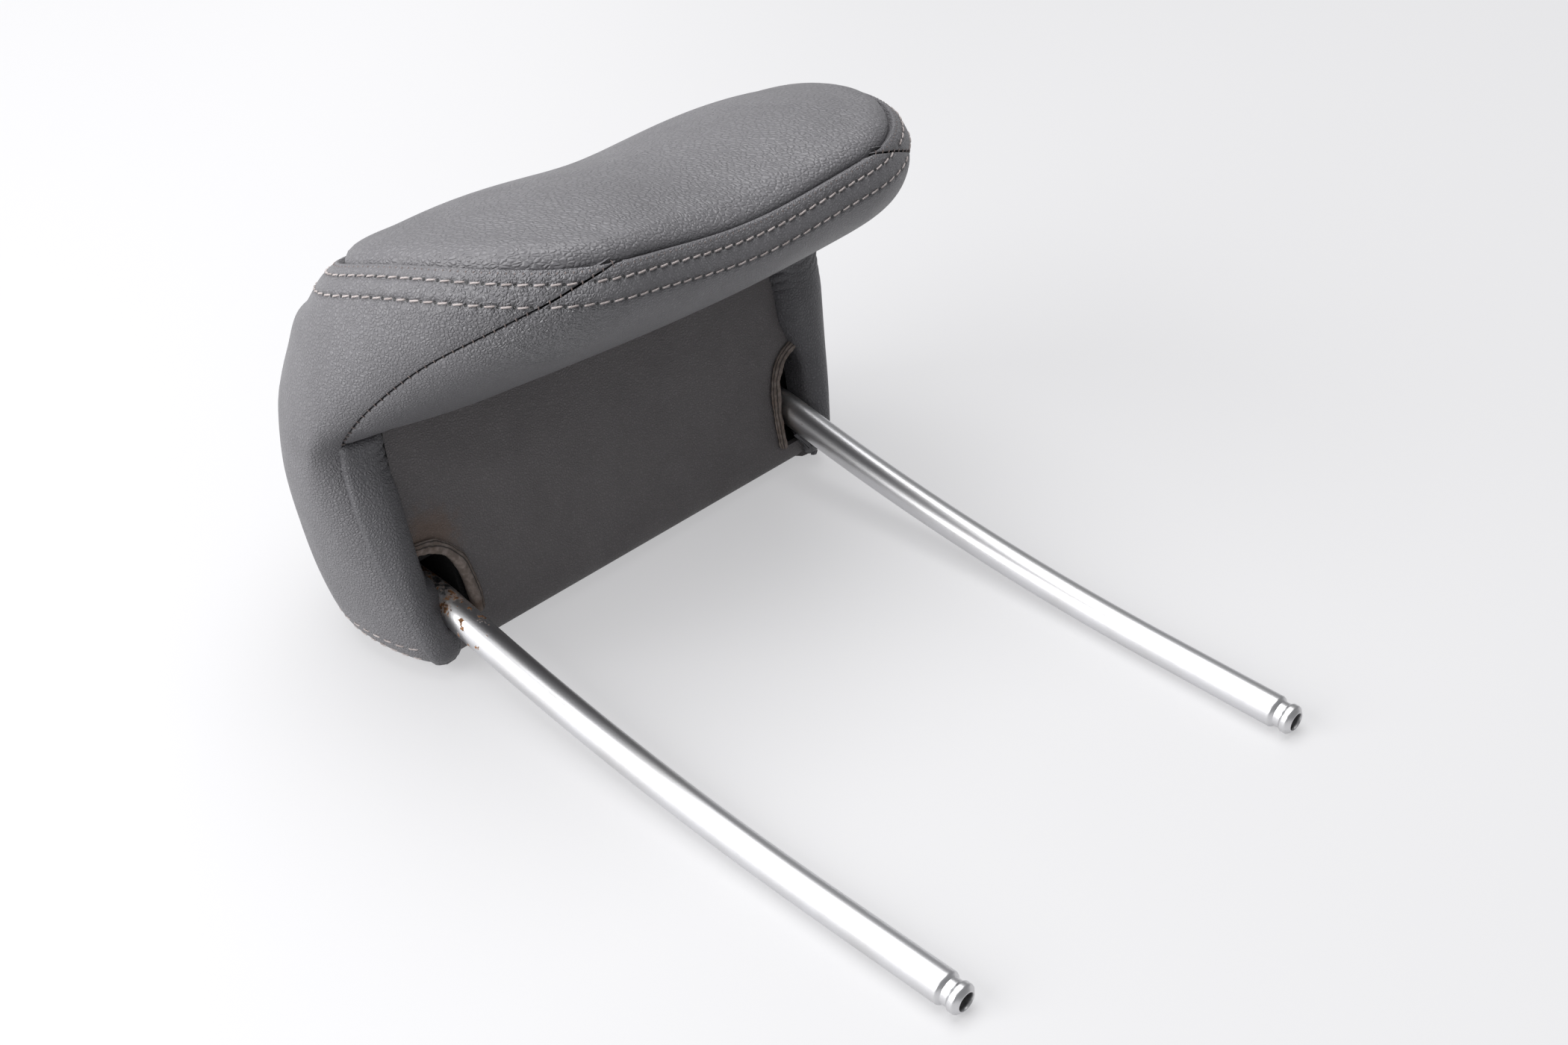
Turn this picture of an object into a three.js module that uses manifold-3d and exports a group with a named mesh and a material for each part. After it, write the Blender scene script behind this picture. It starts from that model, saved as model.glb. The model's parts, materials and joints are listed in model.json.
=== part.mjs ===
// Car headrest on two bowed posts, lying on its back with the post tips down.
// Millimetres, +Z up. X runs across the headrest, Y from the post tips towards the cushion.
// Z is the direction that faces forwards in the car.
import * as THREE from 'three';
import { mergeVertices } from 'three/addons/utils/BufferGeometryUtils.js';
import Module from 'manifold-3d';

const wasm = await Module();
wasm.setup();

// Posts: one bent tube
const POST_DIAMETER = 10;
const POST_BORE = 6;
const POST_SPACING = 150;
const POST_SIDES = 20;
const BORE_SIDES = 12;
const BOW_RADIUS = 800;
const BOW_ANGLE = THREE.MathUtils.degToRad(11.2);
const EXIT_RADIUS = 45;
const EXIT_ANGLE = THREE.MathUtils.degToRad(9);
const CORNER_RADIUS = 20;

// Turned nose at each post tip, measured from the tip
const NOSE_LENGTH = 14;
const NOSE_BORE = 5.4;
const NOSE_END_DIAMETER = 7.4;
const NOSE_RING_DIAMETER = 9.2;
const NOSE_CHAMFER = 1.1;
const GROOVE_START = 3.6;
const GROOVE_END = 6.5;
const GROOVE_DIAMETER = 8;
const SHOULDER_CHAMFER = 0.6;
const NOSE_OVERLAP = 0.5;

// Cushion envelope, measured from the post tips and the table
const TOP_Y = 287;
const CUSHION_WIDTH = 214;
const CUSHION_DEPTH = 136;
const FRONT_SEAM_Z = 144;
const RECESS_TOP_Z = 74;
const RECESS_SET_BACK = 47;
const RECESS_LEAN = 0.29;
const STRIP_CREST = 4.5;
const STRIP_WRAP = 12;
const HEEL_RADIUS = 12;
const FALL_RUN = 90;
const FALL_RISE = 5;
const FALL_DROP = 28;
const CROWN = 9.5;
const DISH = 6;
const DISH_WIDTH = 40;

// Cover
const LEATHER = 2.2;
const SEAM_GAP = 0.3;
const CHIN_SEAM_WIDTH = 96;
const STRIP_WIDTH = 15.5;
const STRIP_CLEARANCE = 1.5;
const REAR_SEAM_Z = 4;
const CHIN_SEAM_SHOULDER = 12;
const CHIN_SEAM_REACH = 29;
const STRIP_SEAM_BULGE = 3;
const STRIP_SEAM_HEAD = 1;
const STRIP_SEAM_TUCK = 1.5;
const STRIP_SEAM_FOOT = 9;

// Slits where the posts leave the cushion
const SLIT_INBOARD = 10.6;
const SLIT_TOP_Z = 40;
const SLIT_FOOT_Z = 10;
const SLIT_CORNER = 5;
const SLIT_EDGE = 2.3;
const SLIT_EDGE_PROUD = 2.5;

// Tilt mechanism around the cross bar
const CROSS_BELOW_TOP = 37;
const EXIT_BEHIND_PANEL = 7.39;
const TILT_RANGE = THREE.MathUtils.degToRad(12);
const RUNNING_GAP = 0.4;
const SWING_CLEARANCE = 1;
const CARRIER_WIDTH = 88;
const CARRIER_BELOW_BAR = 22;
const CARRIER_ABOVE_BAR = 14;
const CARRIER_FRONT_HEIGHT = 19;
const CARRIER_REAR_HEIGHT = 13;
const CARRIER_WALL = 2.5;
const CARRIER_CORNER = 5;
const CLAMP_WIDTH = 20;
const CLAMP_DEPTH = 18;
const CLAMP_SPACING = 44;
const CLAMP_HEIGHT = 10;
const SPRING_THICKNESS = 1;
const SCREW_SPACING_X = 74;
const SCREW_SPACING_Y = 26;
const SCREW_DIAMETER = 3.2;
const SCREW_HEAD_DIAMETER = 7;
const SCREW_HEAD_HEIGHT = 2.2;
const SCREW_HEAD_DEPTH = 0.4;
const SCREW_END_COVER = 5;
const BOSS_DIAMETER = 6.8;

const HALF_WIDTH = CUSHION_WIDTH / 2;
const POST_RADIUS = POST_DIAMETER / 2;
const POST_X = POST_SPACING / 2;
const ORIGIN_Y = TOP_Y / 2;
const CROSS_Y = TOP_Y - CROSS_BELOW_TOP;
const CHIN_FRONT_Y = TOP_Y - CUSHION_DEPTH;
const RECESS_FOOT_Y = CHIN_FRONT_Y + RECESS_SET_BACK;
const RECESS_WIDTH = POST_SPACING + POST_DIAMETER + 2 * STRIP_CLEARANCE;
const STRIP_SEAM_WIDTH = RECESS_WIDTH + 2 * STRIP_WIDTH;
const NOSE_STRAIGHT = RECESS_FOOT_Y + EXIT_BEHIND_PANEL - BOW_RADIUS * Math.sin(BOW_ANGLE);
const FAR = 400;

// Materials
const finish = {
  chrome: new THREE.MeshStandardMaterial({ color: 0xc4c6c9, roughness: 0.25, metalness: 1 }),
  leather: new THREE.MeshStandardMaterial({ color: 0x4e4d50, roughness: 0.55, metalness: 0 }),
  darkLeather: new THREE.MeshStandardMaterial({ color: 0x3b393a, roughness: 0.65, metalness: 0 }),
  felt: new THREE.MeshStandardMaterial({ color: 0x7a6c64, roughness: 0.95, metalness: 0 }),
  foam: new THREE.MeshStandardMaterial({ color: 0xc9b98c, roughness: 0.95, metalness: 0 }),
  plastic: new THREE.MeshStandardMaterial({ color: 0x26272a, roughness: 0.5, metalness: 0 }),
  nylon: new THREE.MeshStandardMaterial({ color: 0xd8d4c8, roughness: 0.4, metalness: 0 }),
  spring: new THREE.MeshStandardMaterial({ color: 0x8a8d92, roughness: 0.35, metalness: 1 }),
  screw: new THREE.MeshStandardMaterial({ color: 0x9b9da0, roughness: 0.4, metalness: 1 }),
};

// A closed three.js geometry as a solid that can be joined and cut
function solid(geometry) {
  const bare = geometry.clone();
  bare.deleteAttribute('normal');
  bare.deleteAttribute('uv');
  const merged = mergeVertices(bare, 1e-4);
  return new wasm.Manifold(new wasm.Mesh({
    numProp: 3,
    vertProperties: new Float32Array(merged.attributes.position.array),
    triVerts: new Uint32Array(merged.index.array),
  }));
}

function geometryOf(body) {
  const mesh = body.getMesh();
  const geometry = new THREE.BufferGeometry();
  geometry.setAttribute('position', new THREE.BufferAttribute(mesh.vertProperties, 3));
  geometry.setIndex(new THREE.BufferAttribute(mesh.triVerts, 1));
  geometry.computeVertexNormals();
  return geometry;
}

function box(x0, x1, y0, y1, z0, z1) {
  const geometry = new THREE.BoxGeometry(x1 - x0, y1 - y0, z1 - z0);
  geometry.translate((x0 + x1) / 2, (y0 + y1) / 2, (z0 + z1) / 2);
  return solid(geometry);
}

// A prism along X of an outline drawn in the Y-Z plane
function prismX(shape, x0, x1) {
  const geometry = new THREE.ExtrudeGeometry(shape, { depth: x1 - x0, bevelEnabled: false, curveSegments: 8 });
  geometry.applyMatrix4(new THREE.Matrix4().makeBasis(
    new THREE.Vector3(0, 1, 0), new THREE.Vector3(0, 0, 1), new THREE.Vector3(1, 0, 0)));
  geometry.translate(x0, 0, 0);
  return solid(geometry);
}

// A prism along Y of an outline drawn in the X-Z plane
function prismY(shape, y0, y1) {
  const geometry = new THREE.ExtrudeGeometry(shape, { depth: y1 - y0, bevelEnabled: false, curveSegments: 8 });
  geometry.applyMatrix4(new THREE.Matrix4().makeBasis(
    new THREE.Vector3(1, 0, 0), new THREE.Vector3(0, 0, 1), new THREE.Vector3(0, -1, 0)));
  geometry.translate(0, y1, 0);
  return solid(geometry);
}

function cylinderX(radius, x0, x1, y, z, sides = 20) {
  const geometry = new THREE.CylinderGeometry(radius, radius, x1 - x0, sides);
  geometry.rotateZ(Math.PI / 2);
  geometry.translate((x0 + x1) / 2, y, z);
  return solid(geometry);
}

function cylinderZ(radius, z0, z1, x, y, sides = 16) {
  const geometry = new THREE.CylinderGeometry(radius, radius, z1 - z0, sides);
  geometry.rotateX(Math.PI / 2);
  geometry.translate(x, y, (z0 + z1) / 2);
  return solid(geometry);
}

function polygon(points) {
  return new THREE.Shape(points.map(([a, b]) => new THREE.Vector2(a, b)));
}

// The post tube's centreline, walked as a tube bender feeds it
class BentTube extends THREE.Curve {
  constructor(start, direction) {
    super();
    this.at = start.clone();
    this.heading = direction.clone();
    this.stations = [];
    this.mark();
  }

  mark() {
    this.stations.push({ point: this.at.clone(), tangent: this.heading.clone() });
  }

  feed(length, steps) {
    for (let i = 0; i < steps; i += 1) {
      this.at.addScaledVector(this.heading, length / steps);
      this.mark();
    }
  }

  bend(axis, angle, radius, steps) {
    const turn = angle / steps;
    const chord = 2 * radius * Math.sin(Math.abs(turn) / 2);
    for (let i = 0; i < steps; i += 1) {
      this.heading.applyAxisAngle(axis, turn / 2);
      this.at.addScaledVector(this.heading, chord);
      this.heading.applyAxisAngle(axis, turn / 2);
      this.mark();
    }
  }

  station(u) {
    return this.stations[Math.round(u * (this.stations.length - 1))];
  }

  getPointAt(u, target = new THREE.Vector3()) {
    return target.copy(this.station(u).point);
  }

  getTangentAt(u, target = new THREE.Vector3()) {
    return target.copy(this.station(u).tangent);
  }
}

// The leg's rise at a distance from the tip, up to the exit bend
const bowLength = BOW_RADIUS * Math.sin(BOW_ANGLE);
const exitY = NOSE_STRAIGHT + bowLength;
const exitZ = POST_RADIUS + BOW_RADIUS * (1 - Math.cos(BOW_ANGLE));
const innerSlope = BOW_ANGLE - EXIT_ANGLE;
const exitBendLength = EXIT_RADIUS * (Math.sin(BOW_ANGLE) - Math.sin(innerSlope));
const exitBendRise = EXIT_RADIUS * (Math.cos(innerSlope) - Math.cos(BOW_ANGLE));
const innerRun = CROSS_Y - exitY - exitBendLength;
const CROSS_Z = exitZ + exitBendRise + innerRun * Math.tan(innerSlope);

function postPath() {
  const up = new THREE.Vector3(1, 0, 0);
  const path = new BentTube(new THREE.Vector3(-POST_X, NOSE_LENGTH, POST_RADIUS), new THREE.Vector3(0, 1, 0));
  path.feed(NOSE_STRAIGHT - NOSE_LENGTH, 1);
  path.bend(up, BOW_ANGLE, BOW_RADIUS, 7);
  path.bend(up, -EXIT_ANGLE, EXIT_RADIUS, 3);
  const straight = innerRun / Math.cos(innerSlope) - CORNER_RADIUS;
  path.feed(straight, 1);
  const inwards = path.heading.clone().cross(new THREE.Vector3(1, 0, 0)).normalize();
  path.bend(inwards, Math.PI / 2, CORNER_RADIUS, 7);
  path.feed(POST_SPACING - 2 * CORNER_RADIUS, 3);
  path.bend(inwards, Math.PI / 2, CORNER_RADIUS, 7);
  path.feed(straight, 1);
  path.bend(up, EXIT_ANGLE, EXIT_RADIUS, 3);
  path.bend(up, -BOW_ANGLE, BOW_RADIUS, 7);
  path.feed(NOSE_STRAIGHT - NOSE_LENGTH, 1);
  return path;
}

function noseOutside(x) {
  const r = (diameter) => diameter / 2;
  const profile = [
    [0, 0],
    [r(NOSE_END_DIAMETER), 0],
    [r(NOSE_RING_DIAMETER), NOSE_CHAMFER],
    [r(NOSE_RING_DIAMETER), GROOVE_START - SHOULDER_CHAMFER],
    [r(GROOVE_DIAMETER), GROOVE_START],
    [r(GROOVE_DIAMETER), GROOVE_END - SHOULDER_CHAMFER],
    [POST_RADIUS, GROOVE_END],
    [POST_RADIUS, NOSE_LENGTH + NOSE_OVERLAP],
    [0, NOSE_LENGTH + NOSE_OVERLAP],
  ].map(([radius, y]) => new THREE.Vector2(radius, y));
  const geometry = new THREE.LatheGeometry(profile, POST_SIDES);
  geometry.translate(x, 0, POST_RADIUS);
  return solid(geometry);
}

function noseBore(x) {
  const wide = POST_BORE / 2;
  const narrow = NOSE_BORE / 2;
  const profile = [
    [0, -1],
    [narrow, -1],
    [narrow, GROOVE_END],
    [wide, GROOVE_END + SHOULDER_CHAMFER],
    [wide, NOSE_LENGTH + NOSE_OVERLAP],
    [0, NOSE_LENGTH + NOSE_OVERLAP],
  ].map(([radius, y]) => new THREE.Vector2(radius, y));
  const geometry = new THREE.LatheGeometry(profile, BORE_SIDES);
  geometry.translate(x, 0, POST_RADIUS);
  return solid(geometry);
}

function tubeAlong(path, radius, sides) {
  const ring = Array.from({ length: sides }, (_, i) => {
    const angle = (2 * Math.PI * i) / sides;
    return new THREE.Vector2(radius * Math.cos(angle), radius * Math.sin(angle));
  });
  return solid(new THREE.ExtrudeGeometry(new THREE.Shape(ring), {
    steps: path.stations.length - 1,
    extrudePath: path,
    bevelEnabled: false,
  }));
}

function postTube() {
  const path = postPath();
  return tubeAlong(path, POST_RADIUS, POST_SIDES)
    .add(noseOutside(-POST_X))
    .add(noseOutside(POST_X))
    .subtract(tubeAlong(path, POST_BORE / 2, BORE_SIDES)
      .add(noseBore(-POST_X))
      .add(noseBore(POST_X)));
}

// Height that a level of the cushion loses towards its top edge
function frontFall(y) {
  const t = (y - CHIN_FRONT_Y) / FALL_RUN;
  return FALL_RISE * t - FALL_DROP * t * t;
}

// Where the panel between the posts lies. Near the table it turns back in a round heel.
function panelY(z) {
  return RECESS_FOOT_Y + RECESS_LEAN * z;
}

function heel(z) {
  const below = HEEL_RADIUS - THREE.MathUtils.clamp(z, 0, HEEL_RADIUS);
  return HEEL_RADIUS - Math.sqrt(HEEL_RADIUS ** 2 - below ** 2);
}

// Cushion sections from the front seam down to the rear face. fall: how much of frontFall each follows.
// low is its lower edge and flat the half width of that edge's straight part. side, widest and top are
// shares of the half width and the depth: set back at the side, place of the widest point, set back on top.
const upperZ = (level) => RECESS_TOP_Z + level * (FRONT_SEAM_Z - RECESS_TOP_Z);
const lowerZ = (level) => RECESS_TOP_Z * level;
const chinLow = (share) => CHIN_FRONT_Y + share * CUSHION_DEPTH;
const chinFlat = (share) => share * CHIN_SEAM_WIDTH / 2;
const crestLow = (z) => panelY(z) + heel(z) - STRIP_CREST;
const crestFlat = (share) => share * RECESS_WIDTH / 2;
const upper = (level, fall, low, flat, side, widest, top) => (
  { z: upperZ(level), fall, low: chinLow(low), flat: chinFlat(flat), side, widest, top });
const lower = (level, flat, side, widest, top) => (
  { z: lowerZ(level), fall: 0, low: crestLow(lowerZ(level)), flat: crestFlat(flat), side, widest, top });
const SECTIONS = [
  upper(1, 1, 0.022, 0.92, 0.154, 0.49, 0.2),
  upper(0.93, 0.97, 0.007, 0.94, 0.107, 0.485, 0.15),
  upper(0.83, 0.9, 0, 0.96, 0.075, 0.485, 0.107),
  upper(0.64, 0.55, 0.051, 1, 0.042, 0.485, 0.059),
  upper(0.42, 0.3, 0.191, 1.125, 0.017, 0.49, 0.037),
  upper(0.2, 0.1, 0.346, 1.29, 0, 0.507, 0.015),
  lower(1.02, 0.957, 0, 0.537, 0.004),
  lower(0.78, 1.018, 0.019, 0.574, 0),
  lower(0.54, 1.03, 0.051, 0.588, 0.007),
  lower(0.3, 1.018, 0.093, 0.588, 0.044),
  lower(0.12, 0.982, 0.131, 0.581, 0.118),
  lower(0.03, 0.933, 0.187, 0.574, 0.191),
  lower(0, 0.859, 0.252, 0.566, 0.257),
];
const CAP_SCALES = [0.25, 0.5, 0.72, 0.88, 0.96];
const FLOOR_SCALE = 0.55;
const MIDDLE_Y = CHIN_FRONT_Y + 0.36 * CUSHION_DEPTH;

// Plan outline of one section, starting at the middle of its lower edge and running to +X
function outline(section) {
  const side = HALF_WIDTH * (1 - section.side);
  const high = TOP_Y - section.top * CUSHION_DEPTH;
  const wide = CHIN_FRONT_Y + section.widest * CUSHION_DEPTH;
  const { low } = section;
  const curve = (a, b, c, d, steps) => new THREE.CubicBezierCurve(
    new THREE.Vector2(...a), new THREE.Vector2(...b), new THREE.Vector2(...c), new THREE.Vector2(...d),
  ).getPoints(steps).slice(0, -1);
  const flat = new THREE.LineCurve(new THREE.Vector2(0, low), new THREE.Vector2(section.flat, low));
  const right = [
    ...flat.getPoints(4).slice(0, -1),
    ...curve([section.flat, low], [section.flat + 0.6 * (side - section.flat), low],
      [side, wide - 0.55 * (wide - low)], [side, wide], 7),
    ...curve([side, wide], [side, wide + 0.56 * (high - wide)], [0.58 * side, high], [0, high], 10),
    new THREE.Vector2(0, high),
  ];
  const left = right.slice(1, -1).reverse().map((p) => new THREE.Vector2(-p.x, p.y));
  return [...right, ...left];
}

function sectionRing(section, scale = 1) {
  const crown = CROWN * (1 - Math.min(scale, 1) ** 2.6);
  return outline(section).map((p) => {
    const x = p.x * scale;
    const y = MIDDLE_Y + (p.y - MIDDLE_Y) * scale;
    const dish = DISH * Math.exp(-((x / DISH_WIDTH) ** 2));
    return new THREE.Vector3(x, y, section.z + section.fall * (frontFall(y) - dish) + crown);
  });
}

// Closed loft through rings that have equal numbers of points, from the top one down
function loft(rings) {
  const count = rings[0].length;
  const points = rings.flat();
  const index = [];
  for (let j = 0; j < rings.length - 1; j += 1) {
    for (let i = 0; i < count; i += 1) {
      const a = j * count + i;
      const b = j * count + ((i + 1) % count);
      index.push(a, a + count, b, b, a + count, b + count);
    }
  }
  const centre = (ring) => ring.reduce((sum, p) => sum.add(p), new THREE.Vector3()).divideScalar(count);
  const topPole = points.push(centre(rings[0])) - 1;
  const lowPole = points.push(centre(rings[rings.length - 1])) - 1;
  const last = (rings.length - 1) * count;
  for (let i = 0; i < count; i += 1) {
    const next = (i + 1) % count;
    index.push(topPole, i, next);
    index.push(lowPole, last + next, last + i);
  }
  const geometry = new THREE.BufferGeometry().setFromPoints(points);
  geometry.setIndex(index);
  geometry.computeVertexNormals();
  return geometry;
}

function cushionRings() {
  const cap = CAP_SCALES.map((scale) => sectionRing(SECTIONS[0], scale));
  const rear = SECTIONS[SECTIONS.length - 1];
  const wide = CHIN_FRONT_Y + rear.widest * CUSHION_DEPTH;
  const floor = outline(rear).map((p) => new THREE.Vector3(
    p.x * FLOOR_SCALE, wide + (p.y - wide) * FLOOR_SCALE, rear.z));
  return [...cap, ...SECTIONS.map((section) => sectionRing(section)), floor];
}

// The cushion's form, drawn in by an inset, with the recess under the chin cut out
function cushionForm(inset) {
  const geometry = loft(cushionRings());
  const position = geometry.attributes.position;
  const normal = geometry.attributes.normal;
  for (let i = 0; i < position.count; i += 1) {
    position.setXYZ(i,
      position.getX(i) - inset * normal.getX(i),
      position.getY(i) - inset * normal.getY(i),
      Math.max(position.getZ(i) - inset * normal.getZ(i), inset));
  }
  const reach = RECESS_WIDTH / 2 + inset;
  const top = RECESS_TOP_Z + inset;
  const back = (z) => panelY(z) + heel(z) + inset;
  const heelLevels = [0, 0.1, 0.3, 0.6, 1].map((share) => share * HEEL_RADIUS);
  const hollow = polygon([
    [back(0), -FAR],
    ...heelLevels.map((z) => [back(z), z]),
    [back(top), top],
    [0, top],
    [0, -FAR],
  ]);
  return solid(geometry).subtract(prismX(hollow, -reach, reach));
}

// Everything on the front seam's upper side, bounded by walls that stand square to the cover
function frontZone(drop) {
  const level = (scale, rise) => sectionRing(SECTIONS[0], scale).map((p) => {
    const crown = CROWN * (1 - Math.min(scale, 1) ** 2.6);
    return new THREE.Vector3(p.x, p.y, p.z - crown + rise - drop);
  });
  return solid(loft([level(1.04, 90), level(1.04, 4), level(1, 0), level(0.9, -9), level(0.2, -12)]));
}

// Seen from the posts, the cover inside the seams that run round the chin and down the strips
function underZone(gap) {
  const chin = CHIN_SEAM_WIDTH / 2 - gap;
  const strip = STRIP_SEAM_WIDTH / 2 - gap;
  const half = new THREE.Path();
  half.moveTo(chin, upperZ(1.2));
  half.lineTo(chin, upperZ(1.03));
  half.quadraticCurveTo(chin + CHIN_SEAM_SHOULDER, upperZ(0.97), chin + CHIN_SEAM_REACH, upperZ(0.83));
  half.quadraticCurveTo(strip + STRIP_SEAM_BULGE, upperZ(0.55), strip + STRIP_SEAM_HEAD, RECESS_TOP_Z);
  half.lineTo(strip - STRIP_SEAM_TUCK, lowerZ(0.5));
  half.lineTo(strip - STRIP_SEAM_FOOT, lowerZ(0));
  half.lineTo(strip - STRIP_SEAM_FOOT, -FAR);
  const right = half.getPoints(6);
  const left = right.map((p) => new THREE.Vector2(-p.x, p.y)).reverse();
  const reach = polygon([
    [0, -FAR],
    [panelY(0) + STRIP_WRAP, -FAR],
    [panelY(RECESS_TOP_Z) + STRIP_WRAP, RECESS_TOP_Z],
    [panelY(RECESS_TOP_Z) - STRIP_WRAP, FRONT_SEAM_Z],
    [panelY(RECESS_TOP_Z) - STRIP_WRAP, FAR],
    [0, FAR],
  ]);
  return prismY(new THREE.Shape([...right, ...left].reverse()), 0, FAR)
    .intersect(prismX(reach, -FAR, FAR));
}

// Swept space of a post leg that tilts about the cross bar
function legSweep(x0, x1, y0) {
  const margin = POST_RADIUS + SWING_CLEARANCE;
  const low = [[CROSS_Y, CROSS_Z - margin], [y0, CROSS_Z - margin - (CROSS_Y - y0) * Math.tan(BOW_ANGLE) * 0.75]];
  const rise = Math.tan(TILT_RANGE);
  const high = [[y0, CROSS_Z + margin + (CROSS_Y - y0) * rise * 0.9], [CROSS_Y, CROSS_Z + margin]];
  return prismX(polygon([...low, ...high]), x0, x1)
    .add(cylinderX(margin, x0, x1, CROSS_Y, CROSS_Z));
}

const slitInner = POST_X - SLIT_INBOARD;
const slitOuter = RECESS_WIDTH / 2;

function slitShape(side, inset, topInset) {
  const inner = slitInner + inset;
  const top = SLIT_TOP_Z - topInset;
  const outlinePoints = new THREE.Path();
  outlinePoints.moveTo(inner, SLIT_FOOT_Z);
  outlinePoints.lineTo(slitOuter, SLIT_FOOT_Z);
  outlinePoints.lineTo(slitOuter, top);
  outlinePoints.lineTo(inner + SLIT_CORNER, top);
  outlinePoints.quadraticCurveTo(inner, top, inner, top - SLIT_CORNER);
  const points = outlinePoints.getPoints(5).map((p) => new THREE.Vector2(side * p.x, p.y));
  return new THREE.Shape(side > 0 ? points : points.reverse());
}

function slitHole(side, inset, topInset) {
  return prismY(slitShape(side, inset, topInset), CHIN_FRONT_Y, TOP_Y);
}

// The slit's cut edge: cover backing that curls out round the top and the inner side
function slitEdge(side) {
  const x0 = side > 0 ? 0 : -FAR;
  const x1 = side > 0 ? FAR : 0;
  const front = polygon([
    [panelY(0) - SLIT_EDGE_PROUD, 0],
    [panelY(0) + LEATHER, 0],
    [panelY(RECESS_TOP_Z) + LEATHER, RECESS_TOP_Z],
    [panelY(RECESS_TOP_Z) - SLIT_EDGE_PROUD, RECESS_TOP_Z],
  ]);
  const slab = prismX(front, x0, x1);
  const ring = slitHole(side, SEAM_GAP, SEAM_GAP)
    .subtract(slitHole(side, SLIT_EDGE + SEAM_GAP, SLIT_EDGE + SEAM_GAP)
      .add(box(-FAR, FAR, 0, FAR, -FAR, SLIT_FOOT_Z + SEAM_GAP)));
  const room = box(-slitOuter + SEAM_GAP, slitOuter - SEAM_GAP, 0, FAR, 0, FAR);
  return slab.intersect(ring).intersect(room);
}

function coverPieces() {
  const skin = cushionForm(0).subtract(cushionForm(LEATHER));
  const above = (z) => box(-FAR, FAR, -FAR, FAR, z, FAR);
  const below = (z) => box(-FAR, FAR, -FAR, FAR, -FAR, z);
  const half = SEAM_GAP / 2;
  const rest = skin.subtract(frontZone(SEAM_GAP));
  const walls = rest.intersect(above(REAR_SEAM_Z + SEAM_GAP));
  const under = walls.intersect(underZone(half));
  const sides = walls.subtract(underZone(-half));
  const crease = RECESS_TOP_Z + LEATHER / 2;
  const chin = under.intersect(above(crease + half));
  const lower = under.intersect(below(crease - half));
  const panelReach = RECESS_WIDTH / 2;
  const middle = box(-panelReach + half, panelReach - half, 0, FAR, -FAR, FAR);
  const right = box(panelReach + half, FAR, 0, FAR, -FAR, FAR);
  const left = box(-FAR, -panelReach - half, 0, FAR, -FAR, FAR);
  return {
    front_panel: skin.intersect(frontZone(0)),
    chin_band: chin,
    side_panel_left: sides.intersect(box(-FAR, -half, 0, FAR, -FAR, FAR)),
    side_panel_right: sides.intersect(box(half, FAR, 0, FAR, -FAR, FAR)),
    recess_strip_left: lower.intersect(left),
    recess_strip_right: lower.intersect(right),
    under_panel: lower.intersect(middle).subtract(slitHole(-1, 0, 0)).subtract(slitHole(1, 0, 0)),
    rear_panel: rest.intersect(below(REAR_SEAM_Z)),
  };
}

const carrierLow = CROSS_Y - CARRIER_BELOW_BAR;
const carrierHigh = CROSS_Y + CARRIER_ABOVE_BAR;
const frontShellTop = CROSS_Z + CARRIER_FRONT_HEIGHT;
const rearShellFloor = CROSS_Z - CARRIER_REAR_HEIGHT;

function foamCore() {
  const cover = LEATHER + SEAM_GAP;
  const reach = CARRIER_WIDTH / 2 + SEAM_GAP;
  const pocket = box(-reach, reach, carrierLow - SEAM_GAP, carrierHigh + SEAM_GAP,
    rearShellFloor - SEAM_GAP, frontShellTop + SEAM_GAP);
  let foam = cushionForm(cover).subtract(pocket);
  for (const side of [-1, 1]) {
    const span = (a, b) => (side > 0 ? [a, b] : [-b, -a]);
    const bendSide = POST_X + POST_RADIUS + SWING_CLEARANCE;
    const slotInner = POST_X - POST_RADIUS - SWING_CLEARANCE;
    const wellStart = CROSS_Y - CORNER_RADIUS - POST_RADIUS;
    foam = foam.subtract(legSweep(...span(slotInner, bendSide), RECESS_FOOT_Y - 10));
    foam = foam.subtract(legSweep(...span(reach - 1, bendSide), wellStart));
  }
  return foam;
}

// One moulded half of the carrier: a tray with rounded corners, bar saddles and screw bosses
function carrierTray(z0, z1, openAbove) {
  const trayShape = (wall) => {
    const w = CARRIER_WIDTH / 2 - wall;
    const low = carrierLow + wall;
    const high = carrierHigh - wall;
    const c = CARRIER_CORNER - wall;
    return polygon([
      [-w + c, low], [w - c, low], [w, low + c], [w, high - c],
      [w - c, high], [-w + c, high], [-w, high - c], [-w, low + c],
    ]);
  };
  const slab = (wall, a, b) => {
    const geometry = new THREE.ExtrudeGeometry(trayShape(wall), { depth: b - a, bevelEnabled: false });
    geometry.translate(0, 0, a);
    return solid(geometry);
  };
  const cavity = openAbove
    ? slab(CARRIER_WALL, z0 + CARRIER_WALL, z1 + 1)
    : slab(CARRIER_WALL, z0 - 1, z1 - CARRIER_WALL);
  let tray = slab(0, z0, z1).subtract(cavity);
  for (const x of [-CLAMP_SPACING / 2, CLAMP_SPACING / 2]) {
    for (const edge of [-1, 1]) {
      const near = x + edge * (CLAMP_WIDTH / 2 + SEAM_GAP);
      const far = near + edge * CARRIER_WALL;
      const rib = box(Math.min(near, far), Math.max(near, far), carrierLow + 1, carrierHigh - 1, z0 + 1, z1 - 1);
      tray = tray.add(rib);
    }
  }
  for (const [x, y] of screwPlaces()) {
    tray = tray.add(cylinderZ(BOSS_DIAMETER / 2, z0 + 1, openAbove ? z1 : z1 - 1, x, y));
  }
  return tray.subtract(cylinderX(POST_RADIUS + RUNNING_GAP, -FAR, FAR, CROSS_Y, CROSS_Z));
}

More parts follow.
